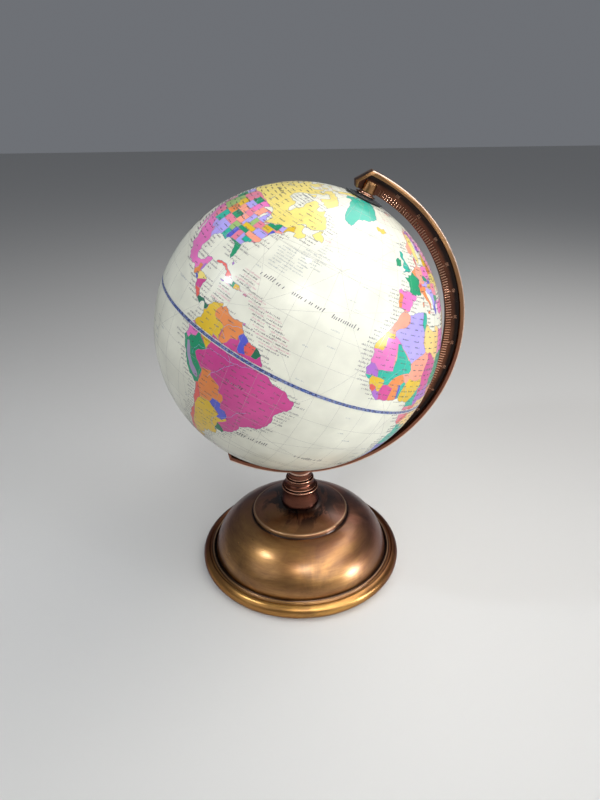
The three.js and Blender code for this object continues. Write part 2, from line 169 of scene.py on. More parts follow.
COUNTRIES = """
alaska=rose: -141,60 -141,72 -172,72 -172,53 -150,57 -138,58.5
canada_panhandle=yellow: -141,60.3 -137,59 -133,57 -130,55 -128,55 -128,61 -141,61
usa=rose: -126,48.5 -123,49 -95,49 -89.5,48.1 -84.7,46.5 -82.5,45.3 -82.5,42 -79,43.3
-76.5,44.2 -74.7,45 -71.3,45.1 -70,46.5 -69,47.3 -67.8,47 -67,44.7 -68,42 -74,30 -79,24
-84,24 -97,25.9 -99.5,27.4 -101.4,29.8 -103,29 -104.5,29.5 -106.5,31.8 -108.2,31.5
-111,31.3 -114.8,32.6 -117.2,32.5 -122,32
mexico=candy: -117.2,32.5 -114.8,32.6 -111,31.3 -108.2,31.5 -106.5,31.8 -104.5,29.5
-103,29 -101.4,29.8 -99.5,27.4 -97,25.9 -94,24 -86,24 -86,20 -87.8,18.4 -89.2,17.9
-91,17.8 -91,16.2 -92.2,15 -92.2,13 -105,16 -120,28
guatemala=orange: -92.3,13.5 -92.2,15 -90.6,16.1 -91.2,17.8 -89.2,17.9 -88.9,15.9 -87.9,16
-89.3,14.4 -90.2,13.4
belize=violet: -89.2,17.9 -88.4,19 -86.8,18 -87.9,16 -89,15.9
honduras=yellow: -89.3,14.4 -88.3,15.8 -86,17 -82,15.2 -85.7,13.9 -87.4,12.5
el_salvador=blue: -90.3,13.8 -89.3,14.5 -87.8,13.8 -87.5,12.8 -90.3,13
nicaragua=magenta: -87.9,12.8 -86.8,13.4 -85.7,14 -83,15.1 -82,11 -85.8,11.1 -88,11
costa_rica=red: -87,11 -85.7,11.1 -83.4,11 -82,9.9 -82.9,8 -84,7.5 -87,9.5
panama=forest: -82.6,9.7 -82.9,8 -82,6 -78,6.5 -76.5,7.6 -77,10 -80,10.5
colombia=gold: -80,2 -77,0.4 -75.2,-0.1 -70.1,-4.2 -69.4,-1.1 -69.8,1.7 -67.2,1.2 -67.4,6
-70,7 -72.4,7.4 -72.9,9.2 -71.3,11.8 -70,14 -77,12 -76.4,8.4 -76.8,7 -77.9,6.9 -80,5
venezuela=orange: -71,14 -71.3,11.8 -72.9,9.2 -72.4,7.4 -70,7 -67.4,6 -67.2,1.2 -65.5,0.8
-64,2.2 -63.4,4 -60.9,4.8 -61.3,6.2 -60,8.2 -58,10 -60,14
guyana=blue: -59.7,8.6 -61.3,6.2 -60.1,4.9 -59.8,2 -58.8,1.2 -56.5,1.9 -58,4 -57,7 -58,10
suriname=red: -57,7 -58,4 -56.5,1.9 -54.6,2.3 -54,4 -54,7
guiana=forest: -54,7 -54.4,3.6 -54.6,2.3 -52.6,2.3 -51.6,4.2 -51,6
ecuador=candy: -82,1.5 -79,1.4 -77,0.4 -75.2,-0.1 -76,-2.6 -78.3,-3.4 -79,-5 -80.3,-4.2 -83,-3
peru=green: -82.5,-3 -80.3,-4.2 -79,-5 -78.3,-3.4 -76,-2.6 -75.2,-0.1 -72.5,-2.4 -70.1,-4.2
-73,-6 -74,-7.5 -72.7,-9.4 -70.5,-11 -69,-12 -69.5,-15 -69.4,-17.5 -70.4,-18.5 -75,-19 -84,-8
andes=mauve: -79,-6 -78,-5.6 -76.2,-9 -73.3,-12.5 -70.6,-14.5 -70.3,-16.2 -72.3,-15.8
-75,-13.6 -77.6,-9.6
bolivia=orange: -69.5,-11 -65.4,-9.9 -65,-12 -60.5,-13.7 -60.2,-16.2 -58.3,-16.3 -57.6,-18
-58.2,-20 -61.8,-19.7 -62.7,-22.2 -64.5,-22.4 -67.2,-22.8 -68.3,-20 -69.4,-17.5 -69,-15
-69,-12.3
paraguay=blue: -58.2,-20 -61.8,-19.7 -62.7,-22.2 -60,-24 -57.7,-25.5 -58.5,-27.3
-55.8,-27.3 -54.6,-25.6 -54.3,-24.1 -55.6,-22.2 -57.9,-22.1
argentina=gold: -67.2,-22.8 -64.5,-22.4 -62.7,-22.2 -60,-24 -57.7,-25.5 -58.5,-27.3
-55.8,-27.3 -54.6,-25.6 -53.7,-26.5 -57.6,-30 -58.4,-34 -54,-36.5 -58,-45 -62,-56
-68.6,-55.8 -68.6,-52.2 -72,-51.8 -73.3,-49.5 -71.7,-46 -71.8,-41 -70.5,-36 -69.8,-33
-69.7,-28 -68.4,-24.5
uruguay=forest: -57.6,-30.1 -55.9,-31 -53.4,-33.7 -52.5,-36 -58.3,-35.2 -58.4,-34
chile=red: -72,-18.4 -69.4,-17.5 -68.3,-20 -67.2,-22.8 -68.4,-24.5 -69.7,-28 -69.8,-33
-70.5,-36 -71.8,-41 -71.7,-46 -73.3,-49.5 -72,-51.8 -68.6,-52.2 -68.6,-55.8 -78,-57
-78,-45 -76,-35
norway=salmon: 3,62 4,57.5 10,58.6 11.5,59 12.3,61.5 12.2,63.5 14.5,66 18.3,68.4 21,69
25.8,69.7 28.5,70 31.5,69.6 30,72 18,71
sweden=yellow: 11.5,59 12.3,61.5 12.2,63.5 14.5,66 18.3,68.4 23.6,68 24.2,65.7 20,63.5
18.5,61 19.5,58 15,54.8 12.4,55.2 10.8,58
finland=violet: 23.6,68 21,69 25.8,69.7 28.5,70 29.5,67 30,63.5 31.5,62.8 27.7,60.3
21,59.8 19.5,62 24.2,65.7
baltic=gold: 20,54.2 22.8,54.4 26.5,55.3 28.2,56.4 27.7,59.5 23,60 20,57.5
denmark=red: 7.5,57.8 8.2,54.9 12,54.7 12,58
germany=salmon: 6.7,54.6 6.2,51.8 6,50 8.2,49 7.6,47.6 13,47.6 13.8,48.7 12.2,50.3 14.7,51
14.3,55 9.5,54.9
low_countries=orange: 2.2,51.2 4.2,50 6.2,49.6 6.3,51.8 7,53.5 4,53.5
france=green: -5.5,49 -1.8,43.3 0.7,42.7 3.2,42.4 7,42.8 7.6,43.8 7,45.9 6.2,46.3 7.6,47.6
8.2,49 6,49.6 2.4,51.3
portugal=orange: -10,42 -8.2,42 -6.4,41.6 -7,39.5 -7.4,37 -10,36.5
spain=candy: -10,44.5 -1.8,43.4 0.7,42.7 3.4,42.4 2,39 -1,36 -6,35.9 -7.4,37 -7,39.5
-6.4,41.6 -8.2,42 -10,42
switzerland=red: 6.2,46.3 7,45.9 9,46 10.5,46.7 9.6,47.6 7.6,47.6
italy=orange: 7,45.9 7.6,43.8 9,43 15,37.8 19.2,39.6 14,43 12.7,45.2 13.6,46.4 12.3,46.8
10.5,46.7 9,46
austria=lilac: 9.6,47.6 10.5,46.7 13.6,46.5 16,46.8 17,48 15,48.9 13,47.7
czechia=green: 12.2,50.3 13.8,48.7 15,48.9 17,48.6 18.8,49.5 15,51
poland=candy: 14.3,55 14.7,51 18.8,49.5 22.6,49.2 24,50.5 23.6,52.5 23.4,54 19.5,54.9
slovakia=blue: 17,48 18.8,49.5 22.6,49.2 22,48.2 18.8,47.8
hungary=gold: 16,46.8 17,48 18.8,47.8 22,48.2 21,46.2 18.8,45.8
romania=rose: 21,46.2 22.8,48 26.5,48.2 28.2,46 29.9,45.2 28.5,43.7 22.8,43.8 21.4,44.8
bulgaria=green: 22.8,43.8 28.8,43.7 28,42 26.2,41.6 22.9,41.3
balkans=lilac: 13.6,45.5 16,46.6 18.8,45.8 21.2,46 22.6,44.3 22.9,41.3 20,39.7 18.9,42 15,43.8
greece=blue: 20,39.7 22.9,41.3 26.4,41.7 26,40.6 24.2,37.2 22,36 19.8,38.5
belarus=orange: 23.4,54 23.6,51.6 30.6,51.5 32.5,53.3 30.8,55.8 28,56.2 26.5,55.3
ukraine=yellow: 22.2,48.2 24,50.6 23.6,51.6 30.6,51.5 34,52.3 40,49.5 38.3,47 36.6,44.8
33,44 30.5,45.4 28.2,45.5 30,48 26.5,48.2
caucasus=teal: 39.5,43.5 45,42.8 50.5,40.5 48.8,38.5 44.5,39.5 41.5,41.4
turkey=candy: 25.5,40.8 26.4,41.7 28,42 36,42.5 41.5,41.6 44.6,39.6 44.5,37.2 39,36.7
36.2,36 30,35.8 26,36.5
levant=gold: 35.6,36.6 42.3,37.2 41,34.4 38.8,33.4 36.8,31.4 35,29.4 34.2,31.2
iraq=lilac: 42.3,37.2 44.8,37.2 46,34 48,30.8 48,29.5 46.5,29 42,31.2 38.8,33.4 41,34.4
iran=orange: 44.5,39.6 48.8,38.2 53.9,37.2 57,38.2 61.2,36.6 60.8,31.5 63.2,27.2 61.6,25
57,25 52,27 48,30.5 46,34 44.8,37.2
arabia=yellow: 35,29.4 38,31.6 42,31.2 46.5,29 48.5,28.5 51,24.5 55,22.5 52,19 47,17 43,17
38,20 34,27.5
yemen=magenta: 42.5,17.2 47,17 52,19 53.3,16.5 45,12 42.7,13
oman=green: 52,19 55,22.5 56.2,25.5 60.5,22.5 57,18 53.3,16.5
emirates=red: 51,24.5 55,22.5 56.2,25.5 55.5,26.2 51,26.5
kazakhstan=green: 47,47.5 50,51.5 61,51.5 61,54 70,55.2 76.5,54 80,51 87.2,49 82.5,45.5
80.2,42.2 71,42.5 68,41.2 62,43.5 56,41.3 52.5,42 51,45
turkmenia=salmon: 52.5,42 56,41.3 61,42 66.5,37.5 61.2,36.6 57,38.2 53.9,37.2
uzbekia=lilac: 56,41.3 56,45 62,43.5 68,41.2 73,40.8 68,37.2 66.5,37.5 61,42
kirgizia=gold: 71,42.5 80.2,42.2 73.7,39.4 73,40.8
tadjikia=red: 68,37.2 73,40.8 75,37.4 71.3,37
afghanistan=candy: 61.2,36.6 66.5,37.5 71.3,38.4 74.7,37 70,33.5 66.5,30 60.8,29.8 60.8,31.5
pakistan=green: 60.8,29.8 66.5,30 70,33.5 74.7,37 77.8,35.5 74,32 70,28 68,23.5 61.6,24.5
63.2,27.2
india=magenta: 68,23.5 70,28 74,32 77.8,35.5 79,31 81,30 88,27 88.2,26.3 92,27 96.8,28.2
94,24 92,23.8 89,25.8 88.6,22 83,14 78,6 70,18
nepal=yellow: 81,30.3 88,28 88.2,26.5 80.2,28.8
bangladesh=teal: 88.6,22 89,25.8 92.2,25 92.3,21
china=yellow: 74.7,37 73.7,39.4 80.2,42.2 82.5,45.5 87.2,49 91,45.2 96.4,42.8 105,41.6
111.5,43.6 119.8,46.8 116,48.5 120,53.3 126,52.8 131,47.8 135,48.3 131,43 125,40 124,38
123,31 118,22 108,19 108,21.5 102,22.4 98,24 97.5,28.2 92,27.8 88,28 81,30.3 77.8,35.5
tibet=mauve: 80,32 88,29 96,30 99,33 92,35.5 82,35.3
mongolia=orange: 87.8,49.2 98,52 108,49.5 116,49.8 119.8,46.8 111.5,43.6 105,41.6 96.4,42.8
91,45.2
korea_north=red: 124.2,39.8 126.9,41.7 130.7,42.5 128.3,38.4 124.5,37.8
korea_south=green: 124.5,37.8 128.3,38.4 130.5,36 127,33
myanmar=orange: 92.2,21 94,24 97.3,28.4 98.8,25 101.2,21.6 97.8,18.5 98.8,15 98.8,10 96,12 92,18
thailand=lilac: 97.8,18.5 100.2,20.3 101,18 104.8,17.5 105.5,14.5 102.5,13.6 102,11.5 99.8,9
102,6.4 100.2,5.8 98,8 98.8,15
laos=gold: 100.2,20.3 101.2,21.6 103,22.5 105,19 107.5,15.5 105.5,14.5 104.8,17.5 101,18
vietnam=salmon: 103,22.5 107,22.5 109,18 111,12 106,8 104.5,10.4 107.5,12.5 107.5,15.5 105,19
cambodia=green: 102.5,13.6 105.5,14.5 107.5,14.5 107.3,12 104.5,10.4 102.5,11
malaya=yellow: 100.2,6.2 102.2,6.3 104.5,1.3 103,1 99.5,5
morocco=salmon: -16,36.5 -1.5,36.5 -1.3,32.5 -3.6,30.8 -8.7,28.7 -8.7,27.7 -14.5,27.7
sahara=gold: -18.5,27.7 -8.7,27.7 -8.7,26 -12,26 -12,23.4 -13,21.3 -18.5,21
algeria=lilac: -2,36.5 8.6,38 8.3,35 7.6,33 9.5,30.3 9.5,26.3 12,23.5 3.3,19 -4.8,25
-8.7,27.3 -8.7,28.7 -3.6,30.8 -1.3,32.5
tunisia=teal: 8.6,38 8.3,35 7.6,33 9.5,30.3 11.5,33 12.5,38
libya=sand: 9.5,30.3 9.5,26.3 12,23.5 14.5,22.8 24,19.5 25,22 25,33 18,34 11.5,34
egypt=candy: 25,22 37.5,22 36,26 32.6,29.8 32.5,32 25,33
sudan=green: 24,19.5 25,22 37.5,22 38.6,18 36.4,14 34,10 31,9.8 24,8.7 22.8,11 22,13 24,16
south_sudan=orange: 24,8.7 31,9.8 34,10 33.2,7.5 35.8,5 30.9,3.5 27.4,5
mauritania=candy: -18,21 -13,21.3 -12,23.4 -12,26 -8.7,26 -8.7,27.3 -4.8,25 -6.5,24.9
-5.5,15.5 -12,14.8 -14.5,16.6 -18,16.3
mali=teal: -6.5,24.9 -4.8,25 3.3,19 4.2,16.8 3.5,15.4 0.2,15 -2,14.2 -4.5,12.5 -5.5,10.4
-8,10.3 -11.4,12.2 -12.2,14.8 -5.5,15.5
senegal=violet: -19,16.3 -14.5,16.6 -12.2,14.8 -11.4,12.4 -13.7,12.6 -18,12.4
bissau=teal: -18,12.4 -13.7,12.6 -14.5,11 -16.5,10.5
guinea=gold: -13.7,12.6 -11.4,12.4 -8,12 -7.8,9 -8.4,7.6 -9.5,7.6 -10.6,9.2 -13.3,9
-16,10.5 -14.5,11
sierra_leone=red: -13.8,9.1 -12.5,9.8 -10.6,9.2 -10.3,8.3 -11.5,6.6 -13.8,7.5
liberia=violet: -11.8,6.6 -10.3,8.4 -9.5,7.6 -8.4,7.6 -7.5,5.5 -7.6,3.8 -10,5
ivory_coast=magenta: -8.4,7.6 -7.8,10.2 -5.5,10.4 -2.7,9.5 -2.9,4 -7.6,3.8 -7.5,5.5
niger=salmon: 0.2,15 3.5,15.4 4.2,16.8 4.2,19.2 12,23.5 14.5,22.8 15.5,21 13.5,14.4
13.6,13.7 9,12.8 5,13.7 3.7,11.7 2.3,12.4
burkina=orange: -5.5,10.4 -4.5,12.5 -2,14.2 0.2,15 2.3,12.4 0.9,11 -2.8,11 -2.7,9.5
ghana=orange: -2.9,4 -2.7,9.5 -2.8,11 0,11.1 0.6,8 1.2,4
togo=blue: 1.2,4 0.6,8 0,11.1 0.9,11 1.6,9 1.8,4
benin=teal: 1.8,4 1.6,9 0.9,11 2.3,12.4 3.7,11.7 2.8,9 2.7,4
nigeria=gold: 2.7,4 2.8,9 3.7,11.7 5,13.7 9,12.8 13.6,13.7 14.6,11.5 12.8,8.5 11.5,6.5 9,4.2 5,3
cameroon=teal: 9,4.2 11.5,6.5 12.8,8.5 14.6,11.5 14.2,12.9 15.5,10 14,9.7 15,7.2 14.6,4.5
16.1,2.3 8.5,2.2
chad=magenta: 13.5,14.4 15.5,21 14.5,22.8 15.9,23.4 24,19.5 24,16 22,13 22.8,11 19,9 15,7.5
14,9.7 15.5,10 14.2,12.9 13.6,13.7
central_africa=violet: 15,7.5 19,9 22.8,11 24,8.7 27.4,5 22.5,4.1 18.6,4.3 18.5,3.5 16.1,2.3
14.6,4.5
gabon=rose: 8.5,2.2 13.2,2.2 14.5,-1.5 12,-3.5 10,-5 7,-2
congo=red: 13.2,2.2 16.1,2.3 18.5,3.5 17.8,0 16,-3.5 14,-4.8 12,-6 10,-5 12,-3.5 14.5,-1.5
zaire=sand: 11,-6 14,-4.8 16,-3.5 17.8,0 18.6,4.3 22.5,4.1 27.4,5 30.9,3.5 29.6,0
29.3,-4.5 30.8,-8.4 28.5,-9 28.6,-12 29.8,-13.4 25,-11.4 22,-11 21.8,-7.3 17,-8 16.6,-5.9
angola=teal: 11,-6 16.6,-5.9 17,-8 21.8,-7.3 22,-11 24,-11 24,-13 22,-13 22,-16.2 23.4,-17.6
13.9,-17.4 10,-17.3
zambia=candy: 24,-11 25,-11.4 29.8,-13.4 28.6,-12 28.5,-9 30.8,-8.4 33,-9.5 33,-14 27,-18
23.4,-17.6 22,-16.2 22,-13 24,-13
namibia=blue: 10,-17.3 13.9,-17.4 23.4,-17.6 25,-17.8 21,-18.3 21,-22 20,-22 20,-28.5 13,-29
botswana=gold: 21,-18.3 25,-17.8 27.5,-20.5 29.3,-22.2 25.5,-25.7 20.7,-26.9 20,-24.8 20,-22
21,-22
zimbabwe=green: 25,-17.8 27,-18 30.5,-15.7 33,-17 32.5,-20.5 31.3,-22.4 29.3,-22.2 27.5,-20.5
south_africa=candy: 13,-29 20,-28.5 20,-24.8 20.7,-26.9 25.5,-25.7 29.3,-22.2 31.3,-22.4
32,-26.8 36,-28 28,-38 16,-36
mozambique=orange: 31.3,-22.4 32.5,-20.5 33,-17 30.5,-15.7 33,-14 34.5,-12 36,-11.6 42,-10.3
43,-15 36,-25 34,-27 32,-26.8
tanzania=green: 29.5,-4.5 30.8,-8.4 33,-9.5 34.5,-12 36,-11.6 42,-10.3 41,-4.8 39.2,-4.6
37.6,-3 33.9,-1 30.5,-1 30.5,-2.5
uganda=red: 29.6,-1 30.5,-1 33.9,-1 34.5,1.5 34,4.2 30.9,3.5 29.6,0
kenya=lilac: 33.9,-1 37.6,-3 39.2,-4.8 43,-2.5 41,-1 41.8,4 36,4.4 34,4.2 34.5,1.5
ethiopia=gold: 36,4.4 41.8,4 45,5 48,8 43.5,9.3 42,11 42.4,12.5 39.5,14.6 36.4,14.3 34,10
33.2,7.5 35.8,5
eritrea=teal: 36.4,14.3 39.5,14.6 42.4,12.5 44,12.5 39.5,17 38,18.2
somalia=magenta: 41.8,4 41,-1 43,-3 47,0 53,12.5 45,12 43,11.5 43.5,9.3 48,8 45,5
"""

# The states, as boxes of west, south, east and north sides, in paint order.
STATES = """
sage -117,42 -111,49  lilac -125,45.7 -117,49  green -125,42 -117,46  candy -124.5,37.5 -119.5,42
candy -121,32.5 -114.5,37.5  sage -120,37 -114,42  rose -116,44.6 -104,49  gold -111,41 -104,45
sage -114,37 -109,42  rose -115,31 -109,37  orange -109,37 -102,41  teal -109,31 -103,37
green -104,46 -96.6,49  lilac -104,43 -96.5,46  salmon -104,40 -95.5,43  green -102,37 -94.6,40
rose -100,34 -94.5,37  lilac -106.5,28 -94,32  lilac -103,30 -94,36.5  lilac -100,25.8 -96.5,30
rose -103,34.2 -94.5,37  candy -97,43.5 -90,49.2  rose -96.5,40.5 -90.5,43.5
salmon -95.7,36.5 -89.5,40.5  sage -94.5,33 -90,36.5  teal -94,28.5 -91,33  teal -92,28.5 -88.9,31
salmon -92.5,42.5 -87.5,47  lilac -91,37 -87.8,42.5  lilac -87.2,41.8 -82.3,46
sage -87.8,38 -84.8,41.8  rose -84.8,38.5 -80.5,41.8  gold -89.3,36.5 -82,38.4
green -90,35 -82,36.5  blue -91,30 -88.3,35  rose -88.3,30.4 -85.1,35  lilac -85.1,30.6 -81,35
teal -83.2,32.5 -78.8,35.2  green -87.5,30 -80,31  green -84,24.5 -79,30.6
salmon -84,34.5 -75,36.6  lilac -82,36.6 -75.5,39.3  gold -80.5,39.7 -75,42
green -79.7,42 -73.5,45  blue -75.5,39 -73.6,41.4  salmon -73.5,41 -70.8,42.7
lilac -73.4,42.7 -71,45.1  gold -71,43 -66.5,47.4
"""

ISLANDS = """
greenland=teal: -73,78.3 -66,76.1 -58.5,75.7 -54.5,71.5 -53.5,67.5 -51.5,63.5 -48.5,61
-44,59.9 -42.5,61.5 -40.5,65 -34,66.5 -26,68.5 -22,70.2 -22,73.5 -19.5,76 -18.5,80 -12,81.5
-22,82.7 -34,83.5 -46,82.6 -60,82 -66,80.5
iceland=gold: -24,65.5 -22.5,66.4 -20,65.8 -16.2,66.5 -13.6,65 -18.5,63.4 -22.6,63.9
baffin=yellow: -65,62 -72,64 -77.5,64.6 -73,68 -79,70 -89.5,70.7 -89.5,73.6 -81,73.8
-75,71.8 -68,70.2 -61.5,66.8
victoria=yellow: -117,69.9 -113,68.5 -103,69 -106,73 -117,73 -117.5,71.3
banks=yellow: -125,72 -120,71.5 -116,73.2 -121,74.4 -124.8,73.8
ellesmere=yellow: -90,76.6 -80,76.3 -75,78.6 -62,82.3 -72,83.1 -86,82.2 -88,79
devon=yellow: -95,75 -80,74.7 -80,75.7 -92,76.6
melville=yellow: -116,75 -106,75 -107,76.3 -117,76.3
prince_of_wales=yellow: -102,72 -96,72 -96,73.8 -101,74
southampton=yellow: -87,63.6 -80.5,63.8 -84.5,65.9
newfoundland=yellow: -59.3,47.8 -53,46.7 -53.2,48.6 -55.7,49.7 -55.8,51.5 -57.3,50.7
vancouver=yellow: -128.2,50.7 -123.5,48.4 -125,50.2
cuba=red: -84.9,21.9 -83,23 -80,23.1 -77,21.8 -74.3,20.2 -77.6,19.9 -78,21.3 -82,22.4
haiti=green: -74.4,18.4 -72.8,18.7 -73.2,19.9 -71.8,19.8 -71.7,18
dominica=gold: -71.7,18 -71.8,19.8 -69.9,19.7 -68.4,18.6 -70.2,18.2
jamaica=violet: -78.3,18.3 -76.3,18.2 -77,17.8 -78.2,18
puerto_rico=rose: -67.2,18.5 -65.7,18.4 -65.8,18 -67.2,18
bahamas=violet: -78.4,25.2 -77.4,24.8 -77.6,23.9 -78.3,24.4
trinidad=candy: -61.8,10.7 -61,10.8 -61,10.1 -61.8,10.1
falklands=candy: -61,-51.3 -58,-51.4 -59,-52.3 -61,-52.1
great_britain=teal: -5.6,50.1 -1,50.7 1.4,51.3 0.2,53.3 -3.2,56 -2,57.6 -5,58.6 -5.6,56.2
-3.2,54.5 -4.6,53.2 -4.9,51.8 -2.8,51.5
ireland=green: -10,51.6 -6.3,52.2 -5.7,54.6 -8,55.2 -10,54
sicily=orange: 12.5,37.9 15.5,38.2 15.1,36.7
sardinia=orange: 8.3,40.9 9.6,41 9.5,39.2 8.5,39
corsica=green: 8.6,42.4 9.5,42.9 9.3,41.4
crete=blue: 23.6,35.5 26.2,35.2 24.8,34.9
cyprus=gold: 32.4,35 34.3,35.6 33.2,34.6
svalbard=salmon: 11,79.5 16,76.6 26,78.5 20,80.3
novaya_zemlya=pink: 52,71.5 57,70.7 56,73 68,76.5 62,76.3 54,73.8
severnaya=pink: 96,79 104,78.5 100,80.8
franz_josef=pink: 48,80.2 60,80.4 54,81.1
new_siberia=pink: 137,75.4 150,75 146,76
sakhalin=pink: 142,46.2 143.5,49.5 142.8,54.2 141.9,50
hokkaido=green: 140,41.6 143.2,42.1 145.4,43.3 142,45.4 141.2,43.2
honshu=green: 131,34.1 135.5,33.6 138.8,34.7 140.8,35.8 141.9,39.5 141,41.4 139.7,38.8
136.8,37.2 136,35.6 132.5,35.4
kyushu=green: 129.8,33.1 131.9,33.3 131.2,31.3 130.2,31.3
taiwan=candy: 120.2,23 121.6,25.2 120.9,22
hainan=yellow: 108.7,19.3 110.8,20 110,18.4
luzon=candy: 120.3,16 120.8,18.6 122.2,18.4 121.6,15.5 124,12.8 120.7,14
mindanao=candy: 122,7 125.5,9.8 126.5,7.3 125.4,5.7 124,6.8
visayas=candy: 122,11.8 123,9.2 125.6,10.2 125,12.4
borneo=orange: 109,1.8 111.3,2.5 113.8,4.4 117,7 119,5.2 117.7,2 118.8,0.9 116.4,-3.8
114.5,-4 111.7,-3.4 110,-1.5
sumatra=orange: 95.3,5.6 98,4.6 103,0.5 106,-3 105.7,-5.8 102.2,-4 98.8,1.7
java=orange: 105.3,-6.7 108.5,-6.7 112.7,-7 114.5,-8.6 110,-8.1
sulawesi=orange: 119,-3.3 120,0.8 125,1.5 120.6,0.3 123.3,-0.9 121.5,-2 122.8,-4.5 120.9,-3
120.4,-5.5
timor=orange: 124,-10.2 127.3,-8.4 125,-9
irian=orange: 130.9,-0.8 134,-0.8 134.9,-3.3 138,-1.6 141,-2.6 141,-9.1 138,-8.2 137.8,-5.2
133,-4
papua=teal: 141,-2.6 145.8,-5 147.8,-6.6 150.8,-10.4 146.5,-8.8 143,-9.2 141,-9.1
new_britain=teal: 148.5,-5.7 152.3,-4.2 151,-6
solomons=red: 156,-6.8 160.5,-8.6 160,-9.6
ceylon=orange: 79.8,8.5 80.3,9.7 81.8,7.5 80.6,6
madagascar=lilac: 43.3,-22.3 44.4,-19.8 44,-17 46.3,-15.8 49.2,-12 50.4,-15.6 47.2,-24.9
45,-25.5
tasmania=candy: 144.7,-40.8 148.3,-40.9 147.8,-43.2 146,-43.5
north_island=rose: 172.8,-34.6 175.8,-36.7 178.4,-37.7 176.8,-40 175,-41.5 173.9,-39.3
174.8,-37.8
south_island=rose: 172.8,-40.6 174.2,-41.7 171.2,-44.2 170.5,-46 167,-46.2 168.5,-44
new_caledonia=green: 164.2,-20.2 167,-22.2 165.4,-21.8
hawaii=rose: -156,20.2 -154.9,19.4 -155.8,19
west_australia=gold: 129,-15 126.8,-13.9 124,-16.3 122.2,-18.2 119,-20 114.1,-21.8
113.6,-25 115.8,-32 115,-34.3 118,-35 123.7,-33.9 129,-31.6
northern_australia=salmon: 129,-15 131,-11.6 136.8,-12.2 135.6,-15 138,-16.6 138,-26 129,-26
south_australia=green: 129,-31.6 129,-26 141,-26 141,-38 139.7,-36.9 137.8,-33 135.2,-34.6
131.5,-31.5
queensland=candy: 138,-16.6 140.8,-17.5 142.5,-10.8 146,-18.7 150.8,-23 153.4,-28.2 141,-29
141,-26 138,-26
new_south_wales=lilac: 141,-29 153.4,-28.2 150.2,-37.3 148,-36.8 141,-34
victoria_state=teal: 141,-34 148,-36.8 150.2,-37.3 146.3,-39 143.5,-38.8 141,-38
"""

# Water cut back out of the land.
LAKES = """
superior: -92,46.7 -88.4,48.6 -84.8,47 -88,46.8
michigan: -87.8,42 -86.3,42.3 -85,45.7 -87.8,44.8
huron: -84,45.9 -81.7,45.5 -82.3,43.2 -83.8,43.8
erie: -83.3,41.7 -79,42.8 -81,41.7
ontario: -79.7,43.3 -76.4,43.6 -76.6,44.1
winnipeg: -98.8,53.3 -96.6,51 -97,50.5 -98,52.5
great_slave: -116.5,61.2 -109.5,62.6 -113,62
great_bear: -124,65 -118,65.6 -122,66.6
nicaragua: -85.8,12 -84.7,11.2 -85.4,11.6
victoria: 31.8,-0.4 34,0 33.6,-2.5 31.9,-2.4
tanganyika: 29.2,-3.6 31,-8.6 30.2,-7.6
caspian: 47,45 51,47 53,45.2 50.5,44.4 52.8,41.5 53.9,37 49,37.6 49.5,40.4
aral: 58.3,44.2 61.5,46.5 60.5,43.8
baikal: 103.8,51.6 108,53 109.8,55.8 107,53.2
ladoga: 30,60.2 33,60.6 31,61.6
"""

# ---------------------------------------------------------------- materials

# Printing inks, as they look in even light.
INKS = {
    "ocean": "dfdecd",
    "ice": "f0f1ea",
    "yellow": "e8d474",
    "gold": "dbb51c",
    "sand": "ecc777",
    "orange": "e2853f",
    "salmon": "f09a80",
    "red": "df5a4e",
    "rose": "e07a92",
    "pink": "e59abb",
    "candy": "e070b5",
    "magenta": "c83f8a",
    "violet": "a766c4",
    "lilac": "aa9ee6",
    "mauve": "9f8bae",
    "blue": "4d52c4",
    "teal": "0cac94",
    "green": "0a9162",
    "forest": "0a6a48",
    "sage": "94b568",
}


def linear(paint):
    """A colour from a paint table such as "e9ebdc", in the linear values that a shader takes."""
    parts = [int(paint[i : i + 2], 16) / 255 for i in (0, 2, 4)]
    return [p / 12.92 if p < 0.04045 else ((p + 0.055) / 1.055) ** 2.4 for p in parts] + [1]


